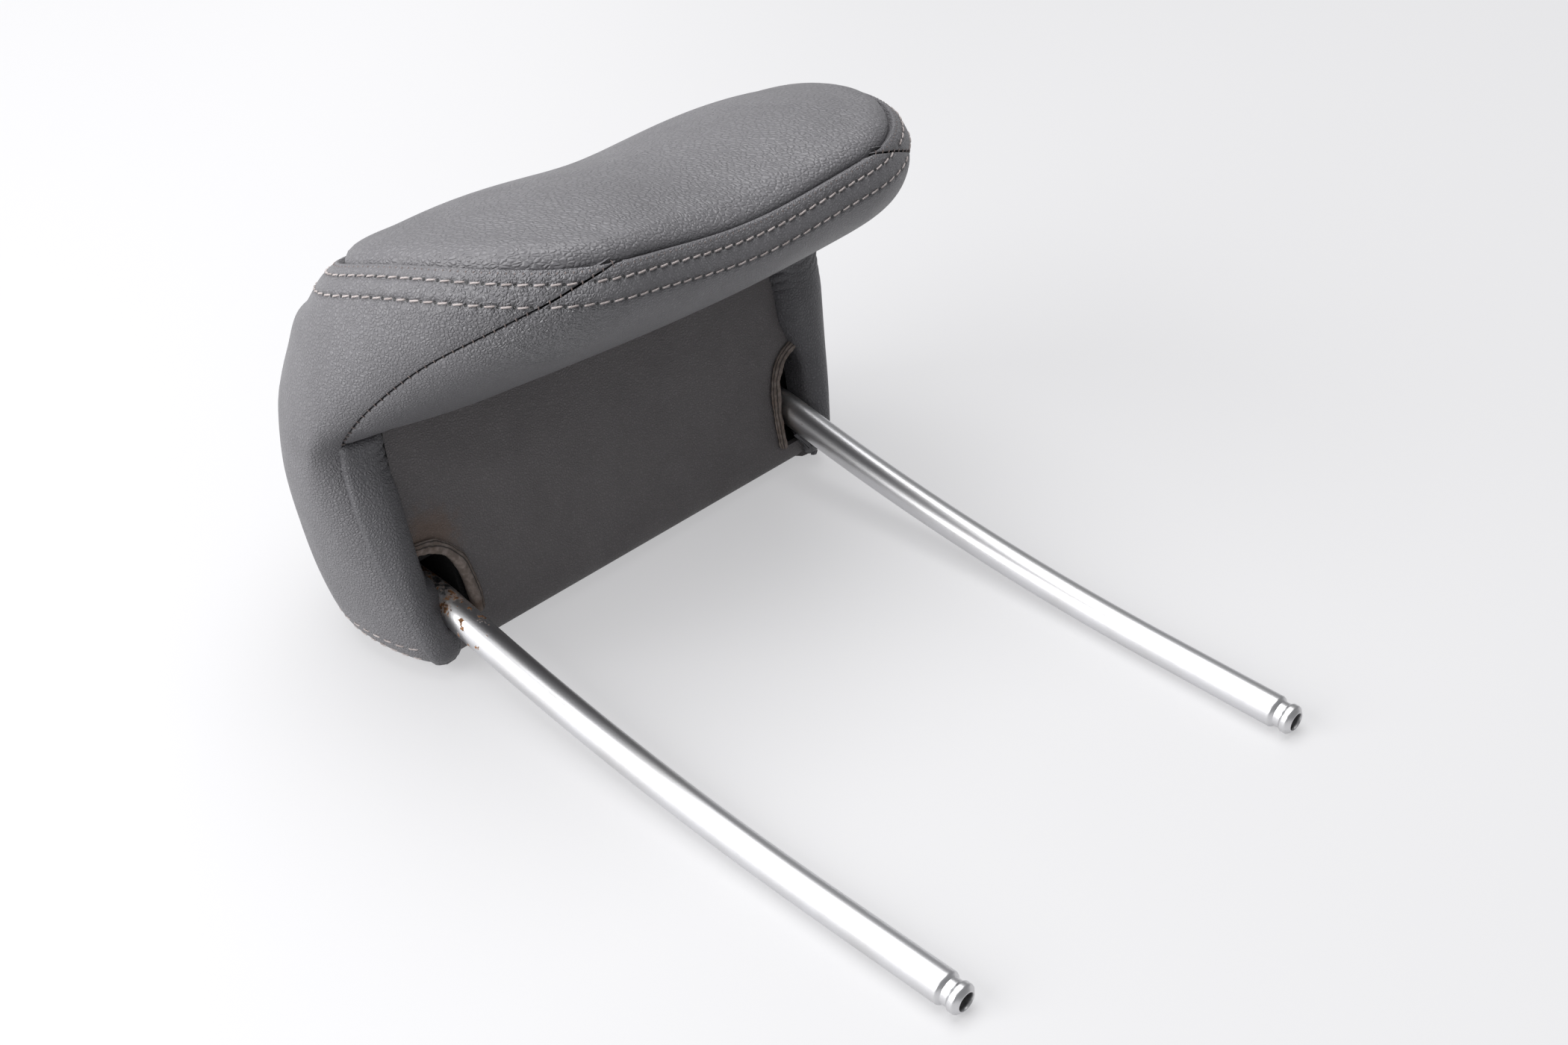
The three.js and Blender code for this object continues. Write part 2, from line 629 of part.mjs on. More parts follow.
function screwPlaces() {
  const x = SCREW_SPACING_X / 2;
  const y = SCREW_SPACING_Y / 2;
  const middle = (carrierLow + carrierHigh) / 2;
  return [[-x, middle - y], [x, middle - y], [-x, middle + y], [x, middle + y]];
}

const screwHeadFloor = rearShellFloor + SCREW_HEAD_DEPTH;
const screwHeadTop = screwHeadFloor + SCREW_HEAD_HEIGHT;
const screwTip = frontShellTop - SCREW_END_COVER;

function carrierFrontShell() {
  let shell = carrierTray(CROSS_Z + SEAM_GAP / 2, frontShellTop, false);
  const reach = screwTip + SEAM_GAP;
  for (const [x, y] of screwPlaces()) {
    shell = shell.subtract(cylinderZ(SCREW_DIAMETER / 2 + SEAM_GAP, CROSS_Z - 1, reach, x, y));
  }
  return shell;
}

function carrierRearShell() {
  let shell = carrierTray(rearShellFloor, CROSS_Z - SEAM_GAP / 2, true);
  for (const [x, y] of screwPlaces()) {
    shell = shell
      .subtract(cylinderZ(SCREW_DIAMETER / 2 + SEAM_GAP, 0, FAR, x, y))
      .subtract(cylinderZ(SCREW_HEAD_DIAMETER / 2 + SEAM_GAP, 0, screwHeadTop + SEAM_GAP, x, y));
  }
  return shell;
}

function screw(x, y) {
  const head = SCREW_HEAD_DIAMETER / 2;
  const shank = SCREW_DIAMETER / 2;
  const socket = shank - 0.2;
  const profile = [
    [0, screwHeadFloor + 1.2],
    [socket, screwHeadFloor + 1.2],
    [socket, screwHeadFloor],
    [head - 0.6, screwHeadFloor],
    [head, screwHeadFloor + 0.8],
    [head, screwHeadTop],
    [shank, screwHeadTop],
    [shank, screwTip - 2],
    [0, screwTip],
  ].map(([r, z]) => new THREE.Vector2(r, z));
  const geometry = new THREE.LatheGeometry(profile, 12);
  geometry.rotateX(Math.PI / 2);
  geometry.translate(x, y, 0);
  return solid(geometry);
}

// Friction clamp half: a block with a half-round seat for the cross bar
function clampHalf(x, sign) {
  const x0 = x - CLAMP_WIDTH / 2;
  const x1 = x + CLAMP_WIDTH / 2;
  const near = CROSS_Z + sign * SEAM_GAP;
  const far = sign > 0 ? CROSS_Z + CLAMP_HEIGHT : rearShellFloor + CARRIER_WALL + SEAM_GAP;
  const block = box(x0, x1, CROSS_Y - CLAMP_DEPTH / 2, CROSS_Y + CLAMP_DEPTH / 2,
    Math.min(near, far), Math.max(near, far));
  return block.subtract(cylinderX(POST_RADIUS + RUNNING_GAP, -FAR, FAR, CROSS_Y, CROSS_Z));
}

// Leaf spring: an arched strip that presses the clamp onto the bar
function leafSpring(x) {
  const seat = CROSS_Z + CLAMP_HEIGHT + SEAM_GAP;
  const rise = frontShellTop - CARRIER_WALL - SEAM_GAP - seat - SPRING_THICKNESS;
  const half = CLAMP_DEPTH / 2 - 1;
  const arch = (lift) => new THREE.QuadraticBezierCurve(
    new THREE.Vector2(CROSS_Y - half, seat + lift),
    new THREE.Vector2(CROSS_Y, seat + lift + 2 * rise),
    new THREE.Vector2(CROSS_Y + half, seat + lift)).getPoints(12);
  const shape = new THREE.Shape([...arch(0), ...arch(SPRING_THICKNESS).reverse()]);
  return prismX(shape, x - CLAMP_WIDTH / 2 + 2, x + CLAMP_WIDTH / 2 - 2);
}

const headrest = new THREE.Group();
headrest.position.set(0, -ORIGIN_Y, 0);

function place(name, body, material) {
  const mesh = new THREE.Mesh(geometryOf(body), material);
  mesh.name = name;
  headrest.add(mesh);
}

place('post_tube', postTube(), finish.chrome);
place('foam_core', foamCore(), finish.foam);
const darkPieces = ['under_panel', 'rear_panel'];
for (const [name, body] of Object.entries(coverPieces())) {
  place(name, body, darkPieces.includes(name) ? finish.darkLeather : finish.leather);
}
place('slit_edge_left', slitEdge(-1), finish.felt);
place('slit_edge_right', slitEdge(1), finish.felt);
place('carrier_front_shell', carrierFrontShell(), finish.plastic);
place('carrier_rear_shell', carrierRearShell(), finish.plastic);
for (const [side, x] of [['left', -CLAMP_SPACING / 2], ['right', CLAMP_SPACING / 2]]) {
  place(`clamp_front_${side}`, clampHalf(x, 1), finish.nylon);
  place(`clamp_rear_${side}`, clampHalf(x, -1), finish.nylon);
  place(`clamp_spring_${side}`, leafSpring(x), finish.spring);
}
screwPlaces().forEach(([x, y], i) => place(`carrier_screw_${i + 1}`, screw(x, y), finish.screw));

export default headrest;
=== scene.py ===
# %% [markdown]
# A car headrest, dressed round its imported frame.
#
# The real thing is a foam cushion in a sewn leather cover, on one bent steel tube. Two legs of the tube
# leave the cushion through slits in a dark panel under the chin. It lies on its back on a white table.
# The frame gives the true sizes. This script makes the leather panels, the seams and threads, the cut
# backing that curls out of the slits, the plated tube, the table and the light.

# %% Load the frame
import json
import math

import bpy
import numpy as np
from mathutils import Matrix, Vector


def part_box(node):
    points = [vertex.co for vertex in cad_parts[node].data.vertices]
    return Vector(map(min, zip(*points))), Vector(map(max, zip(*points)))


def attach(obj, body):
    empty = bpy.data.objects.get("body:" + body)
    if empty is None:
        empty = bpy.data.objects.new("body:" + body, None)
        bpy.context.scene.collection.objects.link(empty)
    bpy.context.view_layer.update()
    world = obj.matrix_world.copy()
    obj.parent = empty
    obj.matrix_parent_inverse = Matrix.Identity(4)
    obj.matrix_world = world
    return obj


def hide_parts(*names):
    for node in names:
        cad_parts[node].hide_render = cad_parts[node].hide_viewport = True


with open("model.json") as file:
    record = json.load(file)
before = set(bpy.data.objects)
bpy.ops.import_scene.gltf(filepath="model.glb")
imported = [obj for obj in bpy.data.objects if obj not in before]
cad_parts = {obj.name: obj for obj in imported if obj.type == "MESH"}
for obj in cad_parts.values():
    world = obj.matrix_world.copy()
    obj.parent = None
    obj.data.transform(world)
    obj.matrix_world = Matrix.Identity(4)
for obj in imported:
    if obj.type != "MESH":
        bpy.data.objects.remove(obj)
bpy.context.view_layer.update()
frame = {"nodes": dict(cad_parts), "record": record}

# %% [markdown]
# Everything on a headrest is measured from the post tips, so the drawing does the same: X across, Y from
# the tips towards the cushion, Z up from the table, all in millimetres. One function turns such points
# into the frame's metres, so no piece is ever fitted afterwards.

# %% Drawing units
MM = 0.001
TIPS_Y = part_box("post_tube")[0].y


def to_frame(points):
    """Points in mm from the post tips, as metres in the frame."""
    placed = np.array(points, float) * MM
    placed[..., 1] += TIPS_Y
    return placed


def to_drawing(node):
    """Lowest and highest corner of a CAD node, in mm from the post tips."""
    low, high = (np.array(corner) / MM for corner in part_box(node))
    shift = np.array([0, TIPS_Y / MM, 0])
    return low - shift, high - shift


def walked_along(points):
    """The distance walked at each point of a line."""
    return np.concatenate(([0], np.cumsum(np.linalg.norm(np.diff(points, axis=0), axis=1))))


HALF_WIDTH, TOP_Y = to_drawing("side_panel_right")[1][:2]
CHIN_Y = to_drawing("chin_band")[0][1]
POST_RADIUS = 5.0
POST_X = to_drawing("post_tube")[1][0] - POST_RADIUS
print("half width", round(HALF_WIDTH, 1), "top", round(TOP_Y, 1), "chin", round(CHIN_Y, 1), "mm")

# %% [markdown]
# The camera comes before the pieces, so that every trial render can be held against the photograph. It
# stands about half a metre away, in front of the post tips and to their left, and looks down at 36
# degrees. A lens of 50 mm on a 36 mm sensor gives the same perspective.

# %% Camera
SENSOR_WIDTH = 36.0
LENS = 50.24
CAMERA_PLACE = (-380.5, -226.2, 428.8)
CAMERA_RIGHT = Vector((0.6936, -0.7203, 0.0065))
CAMERA_FORWARD = Vector((0.5853, 0.5584, -0.5877))


def make_camera():
    data = bpy.data.cameras.new("photo_camera")
    data.sensor_width = SENSOR_WIDTH
    data.lens = LENS
    data.clip_start = 0.01
    camera = bpy.data.objects.new("photo_camera", data)
    bpy.context.scene.collection.objects.link(camera)
    forward = CAMERA_FORWARD.normalized()
    right = (CAMERA_RIGHT - forward * CAMERA_RIGHT.dot(forward)).normalized()
    up = right.cross(forward)
    turn = Matrix((right, up, -forward)).transposed()
    camera.matrix_world = Matrix.Translation(Vector(to_frame(CAMERA_PLACE))) @ turn.to_4x4()
    bpy.context.scene.camera = camera
    return camera


camera = make_camera()
print("camera at", [round(c, 3) for c in camera.matrix_world.translation])

# %% [markdown]
# Materials need the same few steps again and again: add a node, set its sockets, join it to others, add up
# a few patterns with their weights. Small helpers for these keep each finish short enough to read.

# %% Node helpers
def fill_socket(tree, socket, value):
    """Gives a socket a value, or a link from another socket."""
    if isinstance(value, bpy.types.NodeSocket):
        tree.links.new(value, socket)
    else:
        socket.default_value = value


def node(tree, kind, inputs=None, **settings):
    """Adds a node. An input is a value, or a socket to link from."""
    made = tree.nodes.new(kind)
    for name, value in settings.items():
        setattr(made, name, value)
    for name, value in (inputs or {}).items():
        fill_socket(tree, made.inputs[name], value)
    return made


def maths(tree, operation, a, b=0.0, clamp=False):
    return node(tree, "ShaderNodeMath", {0: a, 1: b}, operation=operation, use_clamp=clamp).outputs[0]


def weighed_sum(tree, *terms):
    """The sum of several terms, each one a value and its weight."""
    parts = [maths(tree, "MULTIPLY", value, weight) for value, weight in terms]
    total = parts[0]
    for part in parts[1:]:
        total = maths(tree, "ADD", total, part)
    return total


def ramp(tree, value, low, high, out_low=0.0, out_high=1.0):
    """A smooth step of value from out_low at low to out_high at high."""
    made = node(tree, "ShaderNodeMapRange",
                {"Value": value, "From Min": low, "From Max": high, "To Min": out_low, "To Max": out_high},
                interpolation_type="SMOOTHSTEP")
    return made.outputs["Result"]


def noise(tree, place, scale, detail=2.0, roughness=0.5):
    return node(tree, "ShaderNodeTexNoise",
                {"Vector": place, "Scale": scale, "Detail": detail, "Roughness": roughness}).outputs["Fac"]


def mix_colour(tree, factor, a, b):
    made = node(tree, "ShaderNodeMix", data_type="RGBA")
    for name, value in (("Factor", factor), ("A", a), ("B", b)):
        socket = [s for s in made.inputs if s.name == name and s.enabled][0]
        fill_socket(tree, socket, value)
    return [s for s in made.outputs if s.enabled][0]


def add_bump(tree, shader, height, distance, strength=1.0):
    """Bumps a surface. A height of 1 stands this many mm proud."""
    bumped = node(tree, "ShaderNodeBump",
                  {"Height": height, "Distance": distance * MM, "Strength": strength})
    tree.links.new(bumped.outputs["Normal"], shader.inputs["Normal"])


def new_group(name, inputs, outputs):
    """A shader node group with float or vector inputs, and its input and output nodes."""
    tree = bpy.data.node_groups.new(name, "ShaderNodeTree")
    for label, kind, value in inputs:
        socket = tree.interface.new_socket(label, in_out="INPUT", socket_type=kind)
        if value is not None:
            socket.default_value = value
    for label, kind in outputs:
        tree.interface.new_socket(label, in_out="OUTPUT", socket_type=kind)
    return tree, tree.nodes.new("NodeGroupInput"), tree.nodes.new("NodeGroupOutput")


def use_group(tree, group, inputs):
    return node(tree, "ShaderNodeGroup", inputs, node_tree=group)


def new_material(name):
    material = bpy.data.materials.new(name)
    material.use_nodes = True
    tree = material.node_tree
    shader = tree.nodes["Principled BSDF"]
    place = node(tree, "ShaderNodeTexCoord")
    return material, tree, shader, place


def grey(value, warmth=0.0):
    """A grey, a little warmer or cooler, as a linear colour."""
    return (value * (1 + warmth), value, value * (1 - warmth), 1.0)


def shaded(colour, factor):
    """The same colour, lighter or darker by a factor."""
    return tuple(channel * factor for channel in colour[:3]) + (1.0,)


print("node helpers ready")

# %% [markdown]
# Leather has a pebbled grain of cells about a millimetre across, with fine creases between them. The cells
# come from a Voronoi pattern whose place is bent by noise, so that they look grown rather than laid out.
# One group gives the grain to every leather piece, and its inputs set how many cells there are to a metre
# and how creased the hide is.

# %% Leather grain group
GRAIN_BEND = 0.0011
PEBBLE_EDGE = 0.32
FOLD_FROM, FOLD_TO = 1.25, 1.9


def make_grain_group():
    tree, given, result = new_group(
        "leather_grain",
        [("Place", "NodeSocketVector", None), ("Cells per metre", "NodeSocketFloat", 900.0),
         ("Creases", "NodeSocketFloat", 0.5)],
        [("Height", "NodeSocketFloat"), ("Crease", "NodeSocketFloat"), ("Tone", "NodeSocketFloat")])
    place = given.outputs["Place"]
    bend = node(tree, "ShaderNodeTexNoise", {"Vector": place, "Scale": 420.0, "Detail": 2.0})
    centred = node(tree, "ShaderNodeVectorMath", {0: bend.outputs["Color"], 1: (0.5, 0.5, 0.5)},
                   operation="SUBTRACT")
    small = node(tree, "ShaderNodeVectorMath", {0: centred.outputs[0], "Scale": GRAIN_BEND},
                 operation="SCALE")
    bent = node(tree, "ShaderNodeVectorMath", {0: place, 1: small.outputs[0]}, operation="ADD").outputs[0]
    cells = node(tree, "ShaderNodeTexVoronoi", {"Vector": bent, "Scale": given.outputs["Cells per metre"]},
                 feature="DISTANCE_TO_EDGE").outputs["Distance"]
    pebble = ramp(tree, cells, 0.0, PEBBLE_EDGE)
    fine = noise(tree, place, 2600.0, 2.0, 0.6)
    hide = noise(tree, place, 160.0, 3.0, 0.55)
    folds = node(tree, "ShaderNodeTexNoise",
                 {"Vector": bent, "Scale": 260.0, "Detail": 3.0, "Distortion": 0.8},
                 noise_type="RIDGED_MULTIFRACTAL").outputs["Fac"]
    cut = maths(tree, "MULTIPLY", ramp(tree, folds, FOLD_FROM, FOLD_TO), given.outputs["Creases"])
    height = weighed_sum(tree, (pebble, 0.6), (fine, 0.14), (hide, 0.12), (cut, -0.3))
    tone = weighed_sum(tree, (noise(tree, place, 22.0, 3.0), 0.6), (noise(tree, place, 90.0), 0.4))
    tree.links.new(height, result.inputs["Height"])
    # Crease is 1 in the grain's creases: the leather paints shade there, and the worn place cracks there
    tree.links.new(maths(tree, "SUBTRACT", 1.0, pebble), result.inputs["Crease"])
    tree.links.new(tone, result.inputs["Tone"])
    return tree


grain_group = make_grain_group()
print("grain group with", len(grain_group.nodes), "nodes")

# %% [markdown]
# A line of topstitching goes through the leather at every needle hole, so the hide dips there, and the hole
# is painted near black as shade. The panels carry a UV map in metres: U runs along the seam and V is the
# distance from it. From that map, turned to millimetres, one group marks the holes of a row, in step with the
# thread over them.

# %% Stitch hole group
STITCH_PITCH = 4.1
HOLE_RADIUS = 0.42
HOLE_EDGE = 0.15
PULL_RADIUS = 2.4
GROOVE_WIDTH = 1.1
GROOVE_DEPTH = 0.6
UV_SCALE = 1000.0


def make_hole_group():
    tree, given, result = new_group(
        "stitch_row",
        [("Along", "NodeSocketFloat", 0.0), ("Across", "NodeSocketFloat", 0.0),
         ("Row", "NodeSocketFloat", 5.0)],
        [("Hole", "NodeSocketFloat"), ("Dip", "NodeSocketFloat")])
    steps = maths(tree, "DIVIDE", given.outputs["Along"], STITCH_PITCH)
    wrapped = maths(tree, "SUBTRACT", maths(tree, "FRACT", maths(tree, "ADD", steps, 0.5)), 0.5)
    along = maths(tree, "MULTIPLY", wrapped, STITCH_PITCH)
    across = maths(tree, "SUBTRACT", given.outputs["Across"], given.outputs["Row"])
    distance = maths(tree, "SQRT", weighed_sum(tree, (along, along), (across, across)))
    # Hole: the needle hole's mask, where the leather paints shade near black
    hole = ramp(tree, distance, HOLE_RADIUS, HOLE_RADIUS + HOLE_EDGE, 1.0, 0.0)
    tree.links.new(hole, result.inputs["Hole"])
    pulled = ramp(tree, distance, 0.0, PULL_RADIUS, 1.0, 0.0)
    groove = ramp(tree, maths(tree, "ABSOLUTE", across), 0.0, GROOVE_WIDTH, GROOVE_DEPTH, 0.0)
    tree.links.new(maths(tree, "ADD", pulled, groove), result.inputs["Dip"])
    return tree


hole_group = make_hole_group()
print("stitch row group with", len(hole_group.nodes), "nodes")

# %% [markdown]
# The cover leather is a mid grey hide, semi-matt, a little glossy where heads and hands have polished it.
# The panel under the chin is a smoother and darker synthetic leather, stained by rust at a slit. Both are
# the same material code with other values: colour, grain size, gloss and the rows of stitch holes.

# %% Leather materials
# Distances in mm of the stitch rows from the front seam and from the rear one
FRONT_ROWS = (4.5, 10.3)
REAR_ROWS = (4.6, 9.8)
COVER_COLOUR = (0.166, 0.162, 0.172, 1.0)
WORN_COLOUR = (0.170, 0.167, 0.177, 1.0)
# The strips: the cover's colour made darker, painted shade on faces that turn from the light
STRIP_SHADED_COLOUR = (0.112, 0.110, 0.118, 1.0)
PANEL_COLOUR = (0.158, 0.146, 0.148, 1.0)
RUST_COLOUR = (0.17, 0.10, 0.06, 1.0)
# The centre and the radius, in mm, of the polished place and of the rust stain
GLOSSY_BAND = ((-66, 166, 136), 34)
SLIT_STAIN = ((-76, 208, 43), 14)
STAIN_OFFSET = 7
GRAIN_TURN = math.radians(46)
GRAIN_STRETCH = (0.6, 1, 1)
# LIGHTER is the hide's random tone; CREASE_SHADE is painted shade in the grain's creases
LIGHTER, CREASE_SHADE = 1.16, 0.62
GLOSS_SPREAD = (0.04, 0.05)
THREAD_DIP = 2.2


def ragged_distance(tree, spot, centre, scale, roughness, spread):
    """Distance in metres from a place in mm, made uneven by noise."""
    away = node(tree, "ShaderNodeVectorMath", {0: spot, 1: tuple(to_frame(centre))}, operation="DISTANCE")
    uneven = noise(tree, spot, scale, 4.0, roughness)
    return weighed_sum(tree, (away.outputs["Value"], 1.0), (uneven, spread))


def wear(tree, spot, crease, base, gloss, height):
    """Heads and hands have polished the band here, and it has cracked along its grain."""
    centre, radius = GLOSSY_BAND
    away = ragged_distance(tree, spot, centre, 120.0, 0.6, 0.012)
    worn = ramp(tree, away, radius * MM, radius * MM * 0.35)
    base = mix_colour(tree, maths(tree, "MULTIPLY", worn, 0.7), base, WORN_COLOUR)
    gloss = weighed_sum(tree, (gloss, 1.0), (worn, -0.22))
    height = weighed_sum(tree, (height, 1.0), (maths(tree, "MULTIPLY", worn, crease), -0.6))
    return base, gloss, height


def rust_stain(tree, spot, base):
    """The post has left some of its rust on the dark panel, above the near slit."""
    centre, radius = SLIT_STAIN
    away = ragged_distance(tree, spot, centre, 260.0, 0.7, 0.014)
    brown = ramp(tree, away, (radius + STAIN_OFFSET) * MM, (radius * 0.3 + STAIN_OFFSET) * MM, 0.0, 0.55)
    return mix_colour(tree, brown, base, RUST_COLOUR)


def sewn_row(tree, place, row, base, height):
    """The holes of one stitch row, painted near black as shade, and the dip that its thread pulls."""
    split = node(tree, "ShaderNodeSeparateXYZ", {0: place.outputs["UV"]})
    along = maths(tree, "MULTIPLY", split.outputs["X"], UV_SCALE)
    across = maths(tree, "MULTIPLY", split.outputs["Y"], UV_SCALE)
    marks = use_group(tree, hole_group, {"Along": along, "Across": across, "Row": row})
    # Painted shade: each needle hole is painted near black
    base = mix_colour(tree, maths(tree, "MULTIPLY", marks.outputs["Hole"], 0.85), base, grey(0.008))
    return base, weighed_sum(tree, (height, 1.0), (marks.outputs["Dip"], -THREAD_DIP))


def leather(name, colour, roughness, cells, bump, creases=0.5, stretched=False, sewn=False, stained=False):
    """A leather material. Sewn leather has the front rows' holes, painted near black as shade, and the worn
    place.
    """
    material, tree, shader, place = new_material(name)
    spot = place.outputs["Object"]
    hide = spot
    if stretched:
        turned = node(tree, "ShaderNodeMapping", {"Vector": spot, "Rotation": (0, 0, GRAIN_TURN)}).outputs[0]
        hide = node(tree, "ShaderNodeMapping", {"Vector": turned, "Scale": GRAIN_STRETCH}).outputs[0]
    grain = use_group(tree, grain_group, {"Place": hide, "Cells per metre": cells, "Creases": creases})
    tone, crease, height = (grain.outputs[label] for label in ("Tone", "Crease", "Height"))
    base = mix_colour(tree, ramp(tree, tone, 0.3, 0.7), colour, shaded(colour, LIGHTER))
    # Painted shade: the creases between the grain's pebbles are painted darker
    base = mix_colour(tree, maths(tree, "MULTIPLY", crease, 0.45), base, shaded(colour, CREASE_SHADE))
    gloss = ramp(tree, tone, 0.25, 0.75, roughness + GLOSS_SPREAD[0], roughness - GLOSS_SPREAD[1])
    if sewn:
        base, gloss, height = wear(tree, spot, crease, base, gloss, height)
        for row in FRONT_ROWS:
            base, height = sewn_row(tree, place, row, base, height)
    if stained:
        base = rust_stain(tree, spot, base)
    tree.links.new(base, shader.inputs["Base Color"])
    tree.links.new(gloss, shader.inputs["Roughness"])
    add_bump(tree, shader, height, bump)
    shader.inputs["Specular IOR Level"].default_value = 0.5
    return material


cover_leather = leather("cover_leather", COVER_COLOUR, 0.46, 880.0, 0.34, stretched=True)
stitched_leather = leather("stitched_leather", COVER_COLOUR, 0.46, 950.0, 0.3, sewn=True)
strip_leather = leather("strip_leather", STRIP_SHADED_COLOUR, 0.46, 950.0, 0.26)
panel_leather = leather("panel_leather", PANEL_COLOUR, 0.55, 1150.0, 0.22, creases=0.15, stained=True)
print("leather materials made")

# %% [markdown]
# The cushion's plain form is a stack of thirteen outlines, from the front seam down to the face that lies on
# the table. Each outline is straight at its lower edge and round at its sides and top, so a line and two
# curves draw it. A smooth curve through the thirteen rows of values gives any outline between them, as a
# boat builder fairs a hull through its frames.

# %% The cushion's form
RECESS_FOOT_Y = CHIN_Y + 47.0
RECESS_LEAN = 0.29
HEEL_RADIUS = 12.0
STRIP_CREST = 4.5
CROWN = 9.5
DISH = 6.0
DISH_WIDTH = 40.0
MIDDLE_Y = 200.0
FALL_RUN = 90.0
LAST_RING = 13
CURVE_POINTS = 260


def panel_y(z):
    """Where the dark panel lies. Near the table it turns back in a round heel."""
    below = HEEL_RADIUS - np.clip(z, 0, HEEL_RADIUS)
    return RECESS_FOOT_Y + RECESS_LEAN * z + HEEL_RADIUS - np.sqrt(HEEL_RADIUS ** 2 - below ** 2)


def crest_y(z):
    return float(panel_y(z)) - STRIP_CREST


# z, how far the front falls, lower edge y, straight part, set back at the side, y of the widest place, set
# back at the top, x of the seam
SECTIONS = [
    (144.0, 1.00, CHIN_Y + 3, 44, 16.5, 217.6, 27.2, 50),
    (139.1, 0.97, CHIN_Y + 1, 45, 11.5, 217.0, 20.4, 64),
    (132.1, 0.90, CHIN_Y, 46, 8.0, 217.0, 14.6, 77),
    (118.8, 0.55, CHIN_Y + 7, 48, 4.5, 217.0, 8.0, 91),
    (103.4, 0.30, CHIN_Y + 26, 54, 1.8, 217.6, 5.0, 98),
    (88.0, 0.10, CHIN_Y + 47, 62, 0.0, 220.0, 2.0, 101),
    (75.5, 0.00, crest_y(75.5), 78, 0.0, 224.0, 0.5, 98.5),
    (57.7, 0.00, crest_y(57.7), 83, 2.0, 229.0, 0.0, 98),
    (40.0, 0.00, crest_y(40.0), 84, 5.5, 231.0, 1.0, 95.5),
    (22.2, 0.00, crest_y(22.2), 83, 9.3, 231.0, 6.0, 91),
    (8.9, 0.00, crest_y(8.9), 80, 13.5, 230.0, 16.0, 87),
    (2.2, 0.00, crest_y(2.2), 76, 18.5, 229.0, 26.0, 82),
    (0.0, 0.00, crest_y(0.0), 70, 27.0, 228.0, 35.0, 76),
]
LEAN = 0.035
SETTLE = 1.3
ROLL = 0.045
SETTLE_HEIGHT = 40.0
SQUEEZE = 0.13
SQUEEZE_FROM = 82.0


def leaned(points):
    """The cushion has settled on its posts: it leans to the right and is a little higher on the left."""
    x, y, z = points[..., 0], points[..., 1], points[..., 2]
    risen = 1 - np.exp(-z / SETTLE_HEIGHT)
    pressed = SQUEEZE * np.maximum(x - SQUEEZE_FROM, 0)
    return np.stack((x + LEAN * z - pressed, y, z + risen * (SETTLE - ROLL * x)), axis=-1)


def faired(table, at):
    """The values of a table at a fractional row number, on a smooth curve through its rows."""
    rows = np.array(table, float)
    last = len(rows) - 1
    at = min(max(at, 0.0), last)
    i = min(int(at), last - 1)
    t = at - i
    before, a, b, after = rows[max(i - 1, 0)], rows[i], rows[i + 1], rows[min(i + 2, last)]
    return 0.5 * (2 * a + (b - before) * t + (2 * before - 5 * a + 4 * b - after) * t ** 2
                  + (3 * a - before - 3 * b + after) * t ** 3)


def bezier(a, b, c, d):
    t = np.linspace(0, 1, CURVE_POINTS)[:, None]
    a, b, c, d = (np.array(p, float) for p in (a, b, c, d))
    return a * (1 - t) ** 3 + 3 * b * t * (1 - t) ** 2 + 3 * c * t ** 2 * (1 - t) + d * t ** 3


def half_outline(low, flat, side, widest, high):
    """Half a section's outline: a straight edge, a curve to the widest place and another to the top."""
    straight = np.linspace((0, low), (flat, low), 12)[:-1]
    corner = (flat + 0.6 * (side - flat), low)
    lower = bezier((flat, low), corner, (side, widest - 0.55 * (widest - low)), (side, widest))
    upper = bezier((side, widest), (side, widest + 0.56 * (high - widest)), (0.58 * side, high), (0, high))
    return np.vstack((straight, lower, upper[1:]))


# %% Rings of the form
CROWN_POWER = 2.6
FALL_RISE, FALL_DROP = 5, 28
rings_known = {}


def ring(m):
    """Ring m of the form: arc lengths, x, y, z and seam arc.

    0 is the middle of the front, 1 the front seam, 1 to 13 the walls and 14 the middle of the rear face.
    """
    key = round(float(m), 4)
    if key in rings_known:
        return rings_known[key]
    z, fall, low, flat, side, widest, high, seam_x = faired(SECTIONS, m - 1)
    half = half_outline(low, flat, HALF_WIDTH - side, widest, TOP_Y - high)
    scale = min(max(m, 0.0), 1.0)
    if m > LAST_RING:
        scale = max(LAST_RING + 1 - m, 0.0)
    centre = MIDDLE_Y if m <= 1 else widest
    x = half[:, 0] * scale
    y = centre + (half[:, 1] - centre) * scale
    t = (y - CHIN_Y) / FALL_RUN
    dish = DISH * np.exp(-(x / DISH_WIDTH) ** 2)
    crown = CROWN * (1 - scale ** CROWN_POWER) if m < 1 else 0.0
    heights = np.maximum(z + fall * (FALL_RISE * t - FALL_DROP * t ** 2 - dish) + crown, 0.0)
    arc = walked_along(np.stack((x, y), axis=1))
    widest_at = int(np.argmax(x))
    seam_arc = float(np.interp(seam_x, x[:widest_at], arc[:widest_at]))
    rings_known[key] = (arc, x, y, heights, seam_arc)
    return rings_known[key]


def form(m, arcs):
    """Points of the plain form on ring m, at distances along its half outline. Left is negative."""
    arc, x, y, z, _ = ring(m)
    away = np.abs(np.asarray(arcs, float))
    return leaned(np.stack((np.interp(away, arc, x) * np.sign(arcs), np.interp(away, arc, y),
                            np.interp(away, arc, z)), axis=-1))


def half_length(m):
    return ring(m)[0][-1]


def seam_arc(m):
    return ring(m)[4]


def arc_at_x(m, x):
    """Distance along ring m's lower edge to a place x from the middle."""
    arc, xs = ring(m)[:2]
    widest_at = int(np.argmax(xs))
    return float(np.interp(x, xs[:widest_at], arc[:widest_at]))


print("ring lengths in mm:", [round(2 * half_length(m)) for m in (1, 4, 7, 10, 13)])

# %% [markdown]
# Leather over foam is not flat between its seams: the foam pushes it out and the seams hold it down. A
# cloth simulation finds that shape. A coarse mesh of the form is pinned along the seams, the recess and
# the rear face, and a little air pressure swells the rest. Only how far each point moved is kept, so the
# fine panels made afterwards can follow it.

